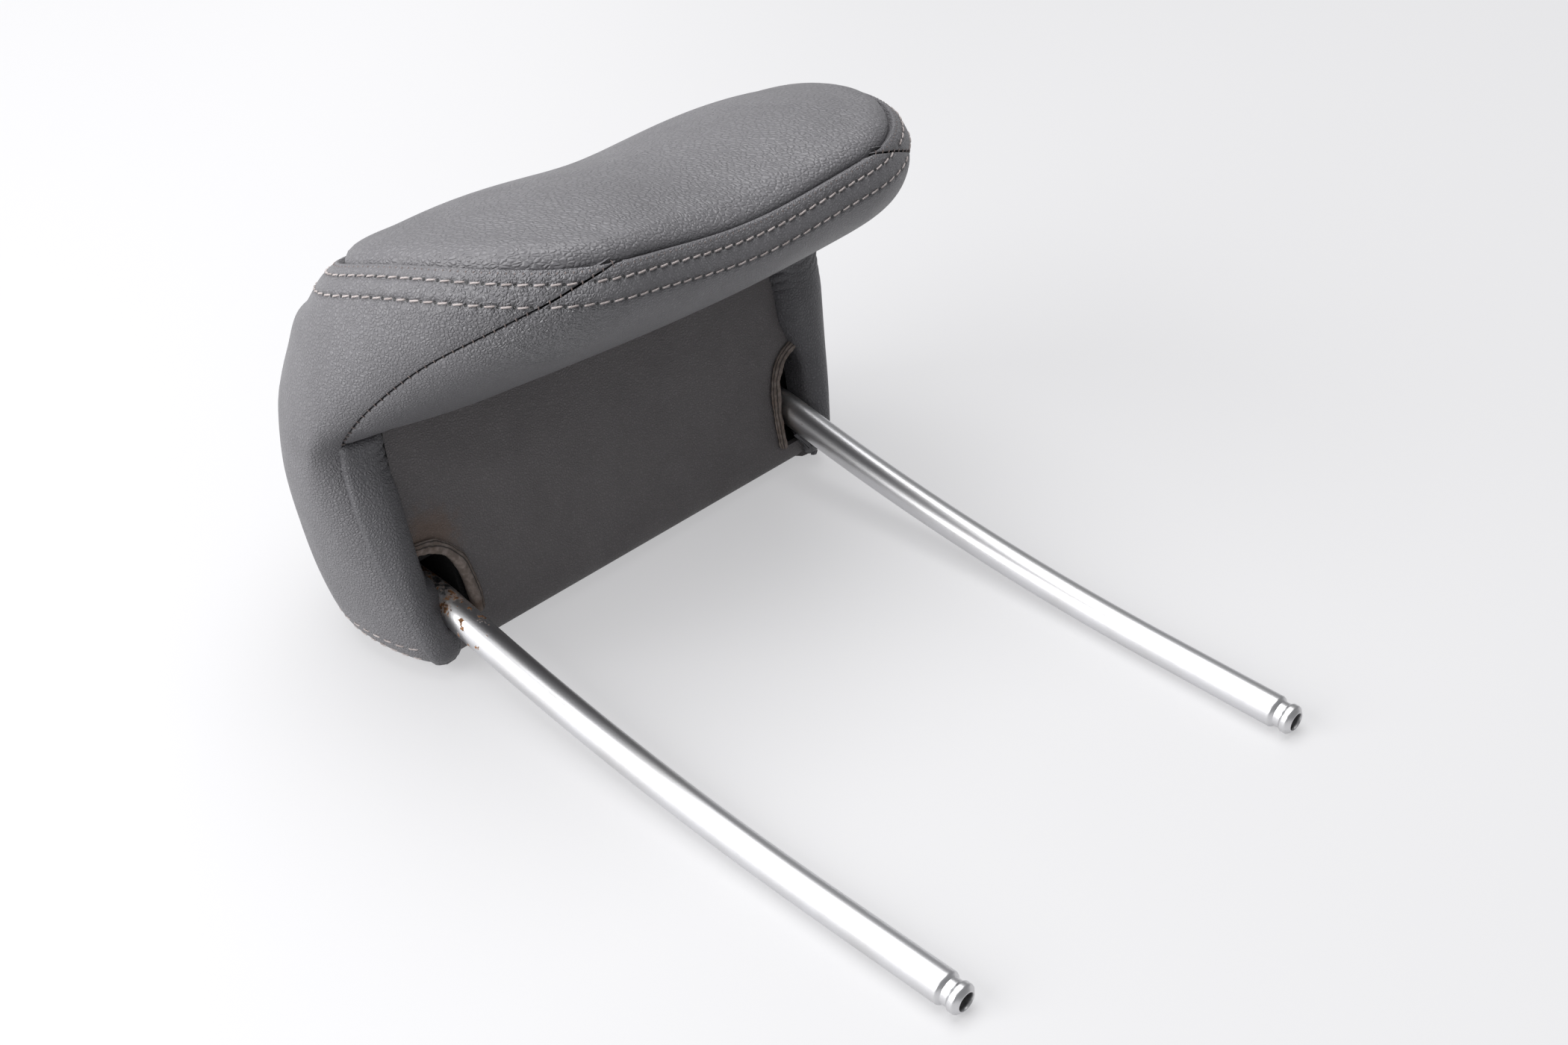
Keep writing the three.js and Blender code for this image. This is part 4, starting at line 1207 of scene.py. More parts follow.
def make_felt():
    material, tree, shader, place = new_material("slit_felt")
    spot = place.outputs["Object"]
    fibres = noise(tree, spot, 1800.0, 4.0, 0.7)
    clumps = noise(tree, spot, 420.0, 3.0, 0.6)
    colour = mix_colour(tree, ramp(tree, clumps, 0.35, 0.68), FELT_DARK, FELT_LIGHT)
    rust = ramp(tree, noise(tree, spot, 150.0, 3.0), 0.5, 0.72)
    colour = mix_colour(tree, maths(tree, "MULTIPLY", rust, 0.35), colour, FELT_RUST)
    split = node(tree, "ShaderNodeSeparateXYZ", {0: place.outputs["UV"]})
    pricks = 0.0
    for line in SEWN_LINES:
        away = maths(tree, "ABSOLUTE", maths(tree, "SUBTRACT", split.outputs["Y"], line))
        pricks = maths(tree, "MAXIMUM", pricks, ramp(tree, away, 0.008, 0.022, 1.0, 0.0))
    colour = mix_colour(tree, maths(tree, "MULTIPLY", pricks, 0.7), colour, grey(0.02))
    tree.links.new(colour, shader.inputs["Base Color"])
    shader.inputs["Roughness"].default_value = 0.92
    add_bump(tree, shader, weighed_sum(tree, (fibres, 0.6), (clumps, 0.8), (pricks, -0.5)), 0.45)
    return material


felt = make_felt()
print("felt with", len(felt.node_tree.nodes), "nodes")

# %% [markdown]
# The curl is a closed section carried along the cut. Chance makes it wider and narrower on the way and
# frays its surface a little, always in the same way, because the numbers start from a fixed seed.

# %% Slit edges
CURL_PLACES = 84
CURL_WOBBLES = 15
CURL_FRAY = 0.16
HOLE_CENTRE_Z = 24.0
# The curl's section: its reach into the slit, less than 0 on the panel's side, and how proud it stands
CURL_ACROSS = np.array([0.9, 1.1, 0.9, 0.2, -0.9, -2.0, -2.9, -3.3, -3.0, -2.0, -0.9, 0.2])
CURL_PROUD = np.array([-2.0, 0.2, 1.5, 2.3, 2.4, 1.9, 1.3, 0.75, 0.3, 0.4, 0.5, -0.6])


def make_slit_edge(side, name, seed):
    """The cut edge of one slit: a narrow band along it that curls in, uneven and a little frayed."""
    path, walked = slit_curve(side, CURL_PLACES)
    tangent = np.gradient(path, axis=0)
    tangent /= np.linalg.norm(tangent, axis=1, keepdims=True)
    inwards = np.stack((-tangent[:, 1], tangent[:, 0]), axis=1)
    hole_centre = np.array([side * POST_X, HOLE_CENTRE_Z])
    inwards *= np.sign(np.sum(inwards * (hole_centre - path), axis=1, keepdims=True))
    chance = np.random.default_rng(seed)
    knots = np.linspace(0, walked[-1], CURL_WOBBLES)
    wobble = np.interp(walked, knots, chance.uniform(-0.5, 0.5, CURL_WOBBLES))
    fray = chance.uniform(-CURL_FRAY, CURL_FRAY, (CURL_PLACES, len(CURL_ACROSS)))
    points = np.zeros((CURL_PLACES, len(CURL_ACROSS) + 1, 3))
    for i in range(CURL_PLACES):
        taper = min(1.0, 0.35 + walked[i] / 5, 0.4 + (walked[-1] - walked[i]) / 2)
        for j in range(len(CURL_ACROSS) + 1):
            k = j % len(CURL_ACROSS)
            reach = CURL_ACROSS[k] * SLITS[side][1] * (1 + 0.22 * wobble[i]) * taper + fray[i, k]
            lift = CURL_PROUD[k] * taper * (1 + 0.4 * wobble[i]) + fray[i, k] * 0.6
            x0, z0 = before_lean(*(path[i] + inwards[i] * reach))
            points[i, j] = panel_point(x0, z0, lift)
    uv = np.zeros(points.shape[:2] + (2,))
    uv[..., 0] = walked[:, None]
    uv[..., 1] = np.linspace(0, 1, len(CURL_ACROSS) + 1) * UV_SCALE
    piece = grid_object(name, points, False, uv)
    bpy.ops.object.mode_set(mode="EDIT")
    bpy.ops.mesh.select_all(action="SELECT")
    bpy.ops.mesh.remove_doubles(threshold=WELD)
    bpy.ops.mesh.select_mode(type="EDGE")
    bpy.ops.mesh.select_all(action="DESELECT")
    bpy.ops.mesh.select_non_manifold()
    bpy.ops.mesh.edge_face_add()
    bpy.ops.mesh.select_all(action="SELECT")
    bpy.ops.mesh.normals_make_consistent(inside=False)
    bpy.ops.object.mode_set(mode="OBJECT")
    smooth = piece.modifiers.new("soft", "SUBSURF")
    smooth.levels = 1
    smooth.render_levels = 1
    apply_modifier(piece, "soft")
    give_material(piece, felt)
    shade(piece, 80)
    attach(piece, "cushion")
    return piece


for side, name, seed in ((-1, "left", 11), (1, "right", 12)):
    edge = make_slit_edge(side, f"slit_curl_{name}", seed)
    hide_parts(f"slit_edge_{name}")
    print(edge.name, len(edge.data.polygons), "faces")

# %% [markdown]
# Thread is what the eye checks first on a sewn cover. One stitch is a short piece of thread that comes out
# of a hole, lies on the leather and goes down into the next. It is modelled once, from a cylinder whose ends
# are bent down, and copied along every row, a little slanted, as a lockstitch lies. Its strands wind round
# each other, which the material shows as a fine slanting bump, with painted shade where the strands meet.

# %% Thread material
THREAD_RADIUS = 0.29


def make_thread(name, colour, dark):
    material, tree, shader, place = new_material(name)
    spot = place.outputs["Object"]
    split = node(tree, "ShaderNodeSeparateXYZ", {0: place.outputs["UV"]})
    twist = weighed_sum(tree, (split.outputs["X"], 3.0), (split.outputs["Y"], 4.0))
    ply = maths(tree, "ABSOLUTE", maths(tree, "SUBTRACT", maths(tree, "FRACT", twist), 0.5))
    soil = ramp(tree, noise(tree, spot, 260.0, 3.0), 0.35, 0.7)
    base = mix_colour(tree, soil, colour, dark)
    # Painted shade: a darker line where the strands meet, along the twist
    base = mix_colour(tree, ramp(tree, ply, 0.3, 0.5, 0.0, 0.5), base, shaded(dark, 0.45))
    tree.links.new(base, shader.inputs["Base Color"])
    shader.inputs["Roughness"].default_value = 0.75
    add_bump(tree, shader, ply, 0.1, 0.6)
    return material


top_thread = make_thread("top_thread", (0.50, 0.45, 0.44, 1), (0.33, 0.29, 0.28, 1))
seam_thread = make_thread("seam_thread", (0.22, 0.18, 0.17, 1), (0.13, 0.10, 0.095, 1))
print("threads:", top_thread.name, "and", seam_thread.name)

# %% [markdown]
# One stitch is a six-sided cylinder, cut into short rings so that it can be bent. A row then needs only its
# places: the start, the end and the leather's normal of each stitch.

# %% One stitch, and rows of them
STITCH_SIDES = 6
STITCH_RINGS = 6
# How high a stitch bows and how deep it lies, in thread radii, and how far its ends go down, in mm
STITCH_RISE, STITCH_SUNK, STITCH_END = 1.15, 0.55, 0.75
END_THINNER = 0.25
THREAD_FLAT = 0.85


def model_stitch():
    """One stitch along X, a unit long and one thread radius thick, as vertices and faces."""
    bpy.ops.object.select_all(action="DESELECT")
    bpy.ops.mesh.primitive_cylinder_add(vertices=STITCH_SIDES, radius=1.0, depth=1.0,
                                        rotation=(0, math.pi / 2, 0))
    stitch = bpy.context.active_object
    bpy.ops.object.transform_apply(location=False, rotation=True, scale=False)
    bpy.ops.object.mode_set(mode="EDIT")
    for i in range(1, STITCH_RINGS):
        bpy.ops.mesh.select_all(action="SELECT")
        bpy.ops.mesh.bisect(plane_co=(i / STITCH_RINGS - 0.5, 0, 0), plane_no=(1, 0, 0))
    bpy.ops.object.mode_set(mode="OBJECT")
    vertices = np.array([v.co for v in stitch.data.vertices])
    faces = [list(p.vertices) for p in stitch.data.polygons]
    bpy.data.objects.remove(stitch)
    return vertices, faces


stitch_vertices, stitch_faces = model_stitch()
print("one stitch:", len(stitch_faces), "faces")


def lay_stitches(name, places, thread_radius, material):
    """Copies the stitch to each place: start, end and leather normal, in mm."""
    count = len(stitch_vertices)
    t, across, upwards = stitch_vertices.T
    outwards = 2 * np.abs(t)
    lift = thread_radius * (STITCH_RISE * (1 - outwards ** 4) - STITCH_SUNK) - STITCH_END * outwards ** 8
    thin = thread_radius * (1 - END_THINNER * outwards ** 6)
    all_vertices = np.zeros((len(places) * count, 3))
    faces = []
    for n, (start, end, normal) in enumerate(places):
        along = end - start
        length = np.linalg.norm(along)
        along = along / length
        side = np.cross(normal, along)
        side /= np.linalg.norm(side)
        up = np.cross(along, side)
        centre = (start + end) / 2 + np.outer(t * length, along) + np.outer(lift, up)
        round_it = np.outer(across * thin, side) + np.outer(upwards * thin * THREAD_FLAT, up)
        all_vertices[n * count:(n + 1) * count] = centre + round_it
        faces += [[v + n * count for v in face] for face in stitch_faces]
    turns = np.arctan2(upwards, across) / (2 * np.pi)
    uv_places = np.tile(np.stack((t, turns), axis=1), (len(places), 1))
    mesh = bpy.data.meshes.new(name)
    mesh.from_pydata(to_frame(all_vertices).tolist(), [], faces)
    layer = mesh.uv_layers.new(name="UVMap")
    corners = np.zeros(len(mesh.loops), int)
    mesh.loops.foreach_get("vertex_index", corners)
    layer.data.foreach_set("uv", uv_places[corners].ravel())
    rows = bpy.data.objects.new(name, mesh)
    bpy.context.scene.collection.objects.link(rows)
    mesh.materials.append(material)
    shade(rows, 70)
    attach(rows, "cushion")
    return rows


# %% Where the rows run
ROW_MARGIN = -1.2
STITCH_FROM, STITCH_TO = 0.06, 0.93
STITCH_SLANT = 0.22


def row_line(cut, seam, offset):
    """Where a row at a distance from a seam crosses a panel: line, normals, distance along the seam."""
    distances, walked = cut[seam]
    order = list(range(distances.shape[0]))
    if seam == "rear":
        order.reverse()
    found = []
    for j in range(distances.shape[1]):
        depth = distances[order, j]
        beyond = int(np.argmax(depth > offset))
        if beyond == 0:
            continue
        a, b = order[beyond - 1], order[beyond]
        t = (offset - depth[beyond - 1]) / (depth[beyond] - depth[beyond - 1])
        found.append([table[a, j] * (1 - t) + table[b, j] * t
                      for table in (cut["inner"], cut["normals"], walked[..., None])])
    line, normals, along = (np.array([f[k] for f in found]) for k in range(3))
    return line, normals, along[:, 0]


def row_places(cut, seam, offset):
    """Stitch places in one panel, at a distance from its front or rear seam."""
    line, normals, along = row_line(cut, seam, offset)
    if along[-1] < along[0]:
        line, normals, along = line[::-1], normals[::-1], along[::-1]
    first = int(math.ceil((along[0] + ROW_MARGIN) / STITCH_PITCH))
    last = int(math.floor((along[-1] - ROW_MARGIN) / STITCH_PITCH))
    places = []

    def at(table, distance):
        return np.array([np.interp(distance, along, table[:, k]) for k in range(3)])

    for k in range(first, last):
        a, b = (k + STITCH_FROM) * STITCH_PITCH, (k + STITCH_TO) * STITCH_PITCH
        start, end = at(line, a), at(line, b)
        normal = at(normals, (a + b) / 2)
        normal /= np.linalg.norm(normal)
        slant = np.cross(normal, end - start)
        slant /= np.linalg.norm(slant)
        places.append((start - slant * STITCH_SLANT, end + slant * STITCH_SLANT, normal))
    return places


front_cuts = (chin_cut, side_cuts["left"], side_cuts["right"])
rear_cuts = (side_cuts["left"], side_cuts["right"], strip_cuts["left"], strip_cuts["right"])
for seam, offsets, cuts in (("front", FRONT_ROWS, front_cuts), ("rear", REAR_ROWS, rear_cuts)):
    for number, offset in enumerate(offsets, 1):
        places = [place for cut in cuts for place in row_places(cut, seam, offset)]
        row = lay_stitches(f"topstitch_{seam}_{number}", places, THREAD_RADIUS, top_thread)
        print(row.name, len(places), "stitches")

# %% [markdown]
# Inside each groove the seam's own thread shows as a short dark bar across the gap, every few millimetres.
# The bars are the same stitch, laid across the seam instead of along it. Where the strips are sewn to the
# side panels, the thread is the paler one of the topstitching.

# %% Seam threads
EDGE_TICKS = 1.5
SEAM_THREAD_RADIUS = 0.2
SEAM_SLANT = 0.25
LOOK_AHEAD = 0.5
# Pitch, half length and depth of the bars in the diagonal seams, at the front seam and at the strips
DIAGONAL_BARS = (3.4, 0.8, VALLEY + 0.02)
FRONT_BARS = (2.2, 0.4, 0.15)
STRIP_BARS = (4.0, 0.5, 0.0)


def seam_places(line, normals, pitch, half, sink):
    """Places of bars across a seam, a pitch apart, half of each on either side, sunk into the groove."""
    walked = walked_along(line)
    places = []

    def at(table, distance):
        return np.array([np.interp(distance, walked, table[:, k]) for k in range(3)])

    for distance in np.arange(pitch / 2, walked[-1], pitch):
        point, ahead = at(line, distance), at(line, distance + LOOK_AHEAD)
        normal = at(normals, distance)
        normal /= np.linalg.norm(normal)
        across = np.cross(normal, ahead - point)
        size = np.linalg.norm(across)
        if size < 1e-6:
            continue
        across = across / size
        slanted = across + SEAM_SLANT * (ahead - point) / np.linalg.norm(ahead - point)
        middle_point = point - normal * sink
        places.append((middle_point - slanted * half, middle_point + slanted * half, normal))
    return places


seam_rings = np.linspace(1.02, REAR_SEAM_RING - 0.05, 200)
places = []
for side in (-1, 1):
    line = line_across(seam_rings, lambda m: side * seam_arc(m))
    cut = side_cuts["right" if side > 0 else "left"]
    column = 0 if side > 0 else -1
    normals = np.array([[np.interp(m, cut["rings"], cut["normals"][:, column, k]) for k in range(3)]
                        for m in seam_rings])
    places += seam_places(line, normals, *DIAGONAL_BARS)
for cut in front_cuts:
    line, normals, _ = row_line(cut, "front", EDGE_TICKS)
    places += seam_places(line, normals, *FRONT_BARS)
lay_stitches("seam_threads", places, SEAM_THREAD_RADIUS, seam_thread)
print("seam threads:", len(places))
places = []
for side, column in (("left", 0), ("right", -1)):
    cut = strip_cuts[side]
    places += seam_places(cut["inner"][:, column], cut["normals"][:, column], *STRIP_BARS)
lay_stitches("strip_seam_threads", places, SEAM_THREAD_RADIUS, top_thread)
print("strip seam threads:", len(places))

# %% [markdown]
# The post is one steel tube: a turned nose with a groove, a long slow bow, a short bend where it enters the
# cushion, and a cross bar between two corner bends. It is swept ring by ring along the same walk as a tube
# bender makes, with a radius that changes at the nose, outside first and then back through the bore.

# %% Post tube
NOSE_STRAIGHT = 50.0
BOW_RADIUS = 800.0
BOW_ANGLE = math.radians(11.2)
EXIT_RADIUS = 45.0
EXIT_ANGLE = math.radians(9)
CROSS_Y = TOP_Y - 37.0
CORNER_RADIUS = 20.0
POST_FACETS = 56
POST_GIRTH = 31.4


def walk_tube():
    """Points and headings along the tube, from the left tip to the right one."""
    point = Vector((-POST_X, 0, POST_RADIUS))
    heading = Vector((0, 1, 0))
    stations = [(point.copy(), heading.copy())]

    def feed(length, steps):
        for _ in range(steps):
            point.xyz = point + heading * (length / steps)
            stations.append((point.copy(), heading.copy()))

    def bend(axis, angle, radius, steps):
        half_turn = Matrix.Rotation(angle / steps / 2, 3, axis)
        chord = 2 * radius * math.sin(abs(angle) / steps / 2)
        for _ in range(steps):
            heading.xyz = half_turn @ heading
            point.xyz = point + heading * chord
            heading.xyz = half_turn @ heading
            stations.append((point.copy(), heading.copy()))

    across = Vector((1, 0, 0))
    slope = BOW_ANGLE - EXIT_ANGLE
    run = CROSS_Y - NOSE_STRAIGHT - BOW_RADIUS * math.sin(BOW_ANGLE)
    run -= EXIT_RADIUS * (math.sin(BOW_ANGLE) - math.sin(slope))
    straight = run / math.cos(slope) - CORNER_RADIUS
    feed(NOSE_STRAIGHT, 60)
    bend(across, BOW_ANGLE, BOW_RADIUS, 40)
    bend(across, -EXIT_ANGLE, EXIT_RADIUS, 6)
    feed(straight, 6)
    inwards = heading.cross(across).normalized()
    bend(inwards, math.pi / 2, CORNER_RADIUS, 14)
    feed(2 * POST_X - 2 * CORNER_RADIUS, 8)
    bend(inwards, math.pi / 2, CORNER_RADIUS, 14)
    feed(straight, 6)
    bend(across, EXIT_ANGLE, EXIT_RADIUS, 6)
    bend(across, -BOW_ANGLE, BOW_RADIUS, 40)
    feed(NOSE_STRAIGHT, 60)
    return stations


# %% The tube's turned ends
# Distances from the tip and the radius there, outside and in the bore
NOSE_PROFILE = [(0.0, 3.15), (0.25, 3.5), (1.1, 4.45), (1.5, 4.6), (2.9, 4.6), (3.3, 4.35), (3.7, 4.0),
                (5.7, 4.0), (6.0, 4.3), (6.4, 4.75), (6.9, 5.0)]
BORE_PROFILE = [(0.0, 2.9), (0.4, 2.7), (6.0, 2.7), (7.0, 3.0)]
EXTRA_RINGS = [0.12, 3.5, 6.2]
LEAST_GAP = 0.05


def outer_radius(distance):
    return float(np.interp(distance, *zip(*NOSE_PROFILE)))


def bore_radius(distance):
    return float(np.interp(distance, *zip(*BORE_PROFILE)))


def make_post():
    """The tube: rings along the walk, outside first and then back through the bore."""
    stations = walk_tube()
    marks = np.array([s[0] for s in stations])
    headings = np.array([s[1] for s in stations])
    walked = walked_along(marks)
    total = walked[-1]
    nose_marks = [d for d, _ in NOSE_PROFILE] + EXTRA_RINGS
    wanted = sorted(set(round(d, 3) for d in list(walked) + nose_marks + [total - d for d in nose_marks]))
    wanted = np.array([d for i, d in enumerate(wanted) if i == 0 or d - wanted[i - 1] > LEAST_GAP])
    spots = np.stack([np.interp(wanted, walked, marks[:, k]) for k in range(3)], axis=1)
    ways = np.stack([np.interp(wanted, walked, headings[:, k]) for k in range(3)], axis=1)
    ways /= np.linalg.norm(ways, axis=1, keepdims=True)
    outward = np.array([0.0, 0.0, 1.0])
    angles = np.linspace(0, 2 * np.pi, POST_FACETS + 1)
    rings, along, turns = [], [], []
    frames = []
    for way in ways:
        outward = outward - way * np.dot(outward, way)
        outward /= np.linalg.norm(outward)
        frames.append((outward.copy(), np.cross(way, outward)))
    order = [(i, outer_radius) for i in range(len(wanted))]
    order += [(i, bore_radius) for i in range(len(wanted) - 1, -1, -1)]
    order += [order[0]]
    for i, radius_of in order:
        radius = radius_of(min(wanted[i], total - wanted[i]))
        up, side = frames[i]
        rings.append(spots[i] + radius * (np.outer(np.cos(angles), up) + np.outer(np.sin(angles), side)))
        along.append(np.full(POST_FACETS + 1, wanted[i]))
        turns.append(angles / (2 * np.pi) * POST_GIRTH)
    uv = np.stack((np.array(along), np.array(turns)), axis=-1)
    post = grid_object("post_tube_plated", np.array(rings), True, uv)
    shade(post, 35)
    return post


post = make_post()
print("post tube", len(post.data.polygons), "faces")

# %% [markdown]
# The tube is satin chrome. Drawing the tube leaves faint lines along it, handling leaves fine scratches, and
# damp has got under the plate where the legs enter the cushion: there the steel is brown and dull, with
# scattered pits further out, more on the left leg than on the right.

# %% Chrome with rust
SATIN = 0.3
RUST_DARK = (0.08, 0.035, 0.014, 1)
RUST_LIGHT = (0.30, 0.13, 0.04, 1)
PLATE_COLOUR = (0.66, 0.66, 0.675, 1)
PLATE_STAINED = (0.60, 0.597, 0.6, 1)
# Metres before the cushion at which the rust starts, and at which it is full
CRUST_LENGTH = (0.011, 0.002)
PITS_LENGTH = (0.045, 0.004)
PITS_RARE = 0.78


def make_chrome():
    material, tree, shader, place = new_material("satin_chrome")
    spot = place.outputs["Object"]
    split = node(tree, "ShaderNodeSeparateXYZ", {0: spot})
    stretch = node(tree, "ShaderNodeMapping", {"Vector": place.outputs["UV"], "Scale": (6.0, 1.0, 1.0)})
    lines = noise(tree, stretch.outputs[0], 2400.0, 3.0, 0.6)
    stains = noise(tree, spot, 60.0, 3.0)
    scratch_place = node(tree, "ShaderNodeMapping", {"Vector": spot, "Scale": (3.0, 0.25, 3.0)})
    scratches = ramp(tree, noise(tree, scratch_place.outputs[0], 900.0, 2.0, 0.7), 0.68, 0.74)
    exit_y = float(to_frame((0, panel_y(20), 0))[1])
    near_exit, pitted = (ramp(tree, split.outputs["Y"], exit_y - start, exit_y - stop)
                         for start, stop in (CRUST_LENGTH, PITS_LENGTH))
    left = ramp(tree, split.outputs["X"], 0.0, -0.01)
    amount = maths(tree, "MULTIPLY", pitted, weighed_sum(tree, (left, 0.5), (1.0, 0.5)))
    spots = noise(tree, spot, 330.0, 4.0, 0.65)
    pits = ramp(tree, weighed_sum(tree, (spots, 1.0), (1.0, -PITS_RARE), (amount, 0.24)), 0.0, 0.045)
    crust = ramp(tree, weighed_sum(tree, (near_exit, 1.0), (spots, 1.6), (1.0, -0.8)), 0.80, 1.25)
    crust = maths(tree, "MULTIPLY", crust, weighed_sum(tree, (left, 0.75), (1.0, 0.25)))
    rust = maths(tree, "MAXIMUM", pits, crust)
    brown = mix_colour(tree, ramp(tree, noise(tree, spot, 900.0, 3.0), 0.35, 0.65), RUST_DARK, RUST_LIGHT)
    plate = mix_colour(tree, ramp(tree, stains, 0.35, 0.75), PLATE_COLOUR, PLATE_STAINED)
    rough = weighed_sum(tree, (lines, 0.05), (stains, 0.06), (scratches, 0.05), (rust, 0.5))
    tree.links.new(mix_colour(tree, rust, plate, brown), shader.inputs["Base Color"])
    tree.links.new(maths(tree, "ADD", rough, SATIN, clamp=True), shader.inputs["Roughness"])
    tree.links.new(ramp(tree, rust, 0.1, 0.7, 1.0, 0.0), shader.inputs["Metallic"])
    add_bump(tree, shader, weighed_sum(tree, (lines, 0.25), (rust, 8.0)), 0.006, 0.8)
    return material


give_material(post, make_chrome())
print("post tube wears", post.data.materials[0].name)
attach(post, "post_frame")
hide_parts("post_tube")

# %% [markdown]
# The foam, the carrier, the clamps, the springs and the screws are hidden, and their CAD shapes are right
# as they are. They only need finishes for anyone who takes the headrest apart.

# %% Finishes of the inner pieces
def plain_finish(name, colour, roughness, metallic, texture_scale, bump):
    material, tree, shader, place = new_material(name)
    spot = place.outputs["Object"]
    grain = noise(tree, spot, texture_scale, 4.0, 0.6)
    base = mix_colour(tree, ramp(tree, grain, 0.3, 0.7), colour, shaded(colour, 0.75))
    gloss = ramp(tree, grain, 0.3, 0.7, roughness - 0.05, roughness + 0.05)
    tree.links.new(base, shader.inputs["Base Color"])
    tree.links.new(gloss, shader.inputs["Roughness"])
    add_bump(tree, shader, grain, bump)
    shader.inputs["Metallic"].default_value = metallic
    return material


inner_finishes = {
    "foam": plain_finish("moulded_foam", grey(0.022), 0.95, 0.0, 1600.0, 0.5),
    "shell_plastic": plain_finish("moulded_plastic", grey(0.03), 0.5, 0.0, 900.0, 0.05),
    "nylon": plain_finish("natural_nylon", (0.62, 0.6, 0.53, 1.0), 0.4, 0.0, 500.0, 0.03),
    "spring_steel": plain_finish("spring_steel", grey(0.5), 0.3, 1.0, 1200.0, 0.02),
    "screw_steel": plain_finish("zinc_plate", grey(0.6), 0.35, 1.0, 800.0, 0.02),
}
print("inner finishes:", ", ".join(inner_finishes))

# %% [markdown]
# The cover has settled on the foam: it leans and is squeezed a little, so the straight CAD block would poke
# through it. A copy of that block is moved as the cover is, except round the carrier and the posts' legs,
# which keep their places.

# %% Foam block, and finishes given out
SETTLE_REACH = 10.0
FOAM_CLEAR = 1.3
FOAM_WELD = 1e-6
FOAM_FLOOR = 0.3
LEG_ROOM = 12.0


def outside_by(points, low, high):
    """How far each point lies outside a box, in mm."""
    return np.linalg.norm(np.maximum(np.maximum(low - points, points - high), 0), axis=-1)


def settle_foam():
    """The foam follows the cover that has settled, but keeps its place round the carrier and the legs."""
    source = frame["nodes"]["foam_core"]
    mesh = source.data.copy()
    mesh.transform(source.matrix_world)
    foam = bpy.data.objects.new("foam_block", mesh)
    bpy.context.scene.collection.objects.link(foam)
    select_only(foam)
    bpy.ops.object.mode_set(mode="EDIT")
    bpy.ops.mesh.select_all(action="SELECT")
    bpy.ops.mesh.remove_doubles(threshold=FOAM_WELD)
    bpy.ops.object.mode_set(mode="OBJECT")
    origin = to_frame((0, 0, 0))
    points = (np.array([v.co for v in mesh.vertices]) - origin) / MM
    normals = np.array([v.normal for v in mesh.vertices])
    fixed = [to_drawing("carrier_front_shell"), to_drawing("carrier_rear_shell")]
    for side in (-1, 1):
        low = np.array([side * POST_X - LEG_ROOM, 0, 0])
        fixed.append((low, low + np.array([2 * LEG_ROOM, TOP_Y, 3 * LEG_ROOM])))
    away = np.min([outside_by(points, *box) for box in fixed], axis=0)
    weight = np.clip(away / SETTLE_REACH, 0, 1)[:, None]
    settled = points + weight * (leaned(points) - points - FOAM_CLEAR * normals)
    settled[:, 2] = np.maximum(settled[:, 2], FOAM_FLOOR)
    mesh.vertices.foreach_set("co", to_frame(settled).ravel())
    mesh.update()
    give_material(foam, inner_finishes["foam"])
    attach(foam, "cushion")
    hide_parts("foam_core")
    return foam


foam = settle_foam()
print("foam block", len(foam.data.polygons), "faces")
slot_of = {s["node"]: s["material_slot"] for s in frame["record"]["subparts"]}
for name, made in frame["nodes"].items():
    if slot_of.get(name) in inner_finishes:
        give_material(made, inner_finishes[slot_of[name]])

# %% [markdown]
# The headrest lies on a white table under broad soft light. The table is grey and glows a little, so it
# looks white and still takes shadows; its glow is painted stronger on the left, a painted fall of light. Only
# the camera and reflections see that glow: to other rays it is plain grey, or it would light the headrest
# from below. A large soft box hangs above the headrest, a second lights the left side, and the world fills
# the rest.

# %% Floor and light
FLOOR_BASE = (0.30, 0.30, 0.305, 1)
FLOOR_GLOW = (0.965, 0.96, 0.975, 1)
# Glow strength at the left and at the right of the view: a painted fall of light across the table
PAINTED_GLOW_LEFT = 0.54
PAINTED_GLOW_RIGHT = 0.44
FLOOR_PLAIN = (0.36, 0.36, 0.365, 1)
FLOOR_SIZE = 12.0
GLOW_FROM, GLOW_TO = -0.26, 0.1
TOP_LIGHT = ((0.1, 0.35, 1.9), (0, 0.05, 0.05), (1.9, 1.5), 38.0)
LEFT_LIGHT = ((-1.6, 0.5, 0.9), (0, 0.05, 0.07), (1.5, 1.2), 38.0)
WORLD_COLOUR = (0.97, 0.98, 1.0, 1)
WORLD_STRENGTH = 0.3


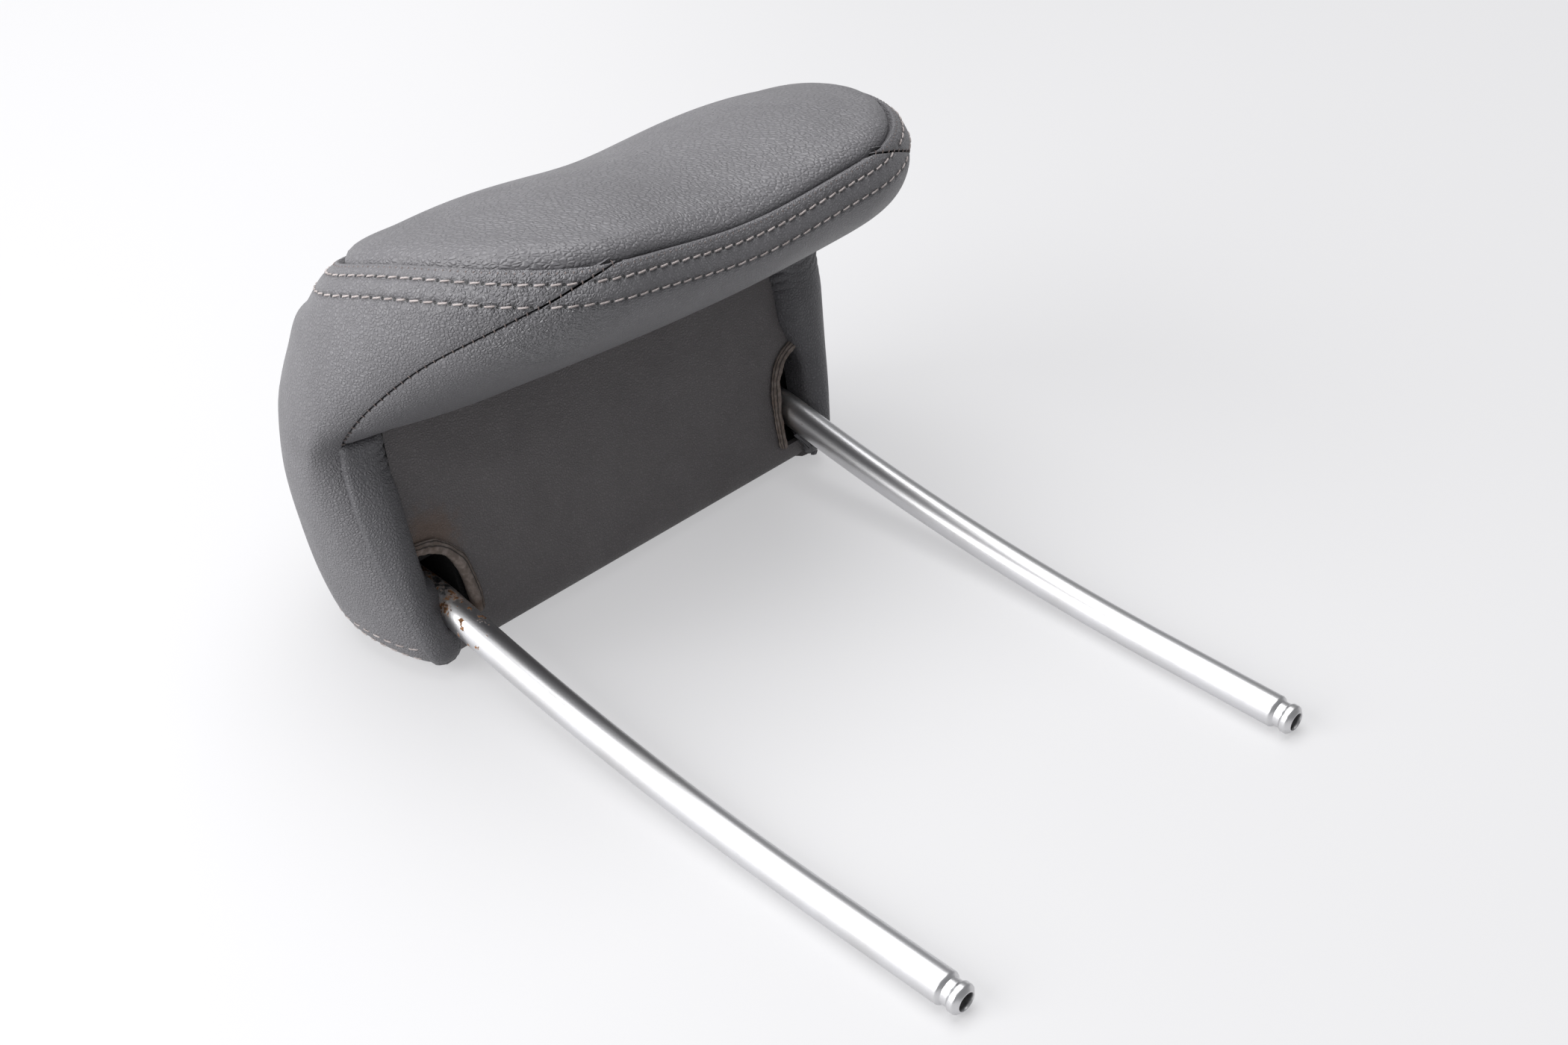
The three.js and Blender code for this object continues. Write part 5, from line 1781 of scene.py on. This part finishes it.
def make_floor():
    bpy.ops.object.select_all(action="DESELECT")
    bpy.ops.mesh.primitive_plane_add(size=FLOOR_SIZE, location=(0, 0, 0))
    floor = bpy.context.active_object
    floor.name = "table_top"
    material, tree, shader, place = new_material("white_table")
    shader.inputs["Base Color"].default_value = FLOOR_BASE
    shader.inputs["Roughness"].default_value = 0.5
    shader.inputs["Specular IOR Level"].default_value = 0.3
    shader.inputs["Emission Color"].default_value = FLOOR_GLOW
    split = node(tree, "ShaderNodeSeparateXYZ", {0: place.outputs["Object"]})
    rightwards = weighed_sum(tree, (split.outputs["X"], CAMERA_RIGHT.x), (split.outputs["Y"], CAMERA_RIGHT.y))
    # Painted light: the table's glow fades from left to right
    glow = ramp(tree, rightwards, GLOW_FROM, GLOW_TO, PAINTED_GLOW_LEFT, PAINTED_GLOW_RIGHT)
    tree.links.new(glow, shader.inputs["Emission Strength"])
    path = node(tree, "ShaderNodeLightPath")
    seen = maths(tree, "MAXIMUM", path.outputs["Is Camera Ray"], path.outputs["Is Glossy Ray"])
    plain = node(tree, "ShaderNodeBsdfDiffuse", {"Color": FLOOR_PLAIN})
    both = node(tree, "ShaderNodeMixShader", {0: seen, 1: plain.outputs[0], 2: shader.outputs[0]})
    tree.links.new(both.outputs[0], tree.nodes["Material Output"].inputs["Surface"])
    floor.data.materials.append(material)
    return floor


def make_softbox(name, place, target, size, watts):
    """A soft box at a place, turned to its target, both in metres."""
    data = bpy.data.lights.new(name, "AREA")
    data.shape = "RECTANGLE"
    data.size, data.size_y = size
    data.energy = watts
    lamp = bpy.data.objects.new(name, data)
    bpy.context.scene.collection.objects.link(lamp)
    aim = (Vector(target) - Vector(place)).to_track_quat("-Z", "Y")
    lamp.matrix_world = Matrix.Translation(Vector(place)) @ aim.to_matrix().to_4x4()
    return lamp


make_floor()
for name, settings in (("top_softbox", TOP_LIGHT), ("left_softbox", LEFT_LIGHT)):
    lamp = make_softbox(name, *settings)
    print(lamp.name, lamp.data.energy, "W")
world = bpy.data.worlds.new("studio")
bpy.context.scene.world = world
world.use_nodes = True
background = world.node_tree.nodes["Background"]
background.inputs["Color"].default_value = WORLD_COLOUR
background.inputs["Strength"].default_value = WORLD_STRENGTH
bpy.context.scene.view_settings.view_transform = "Standard"
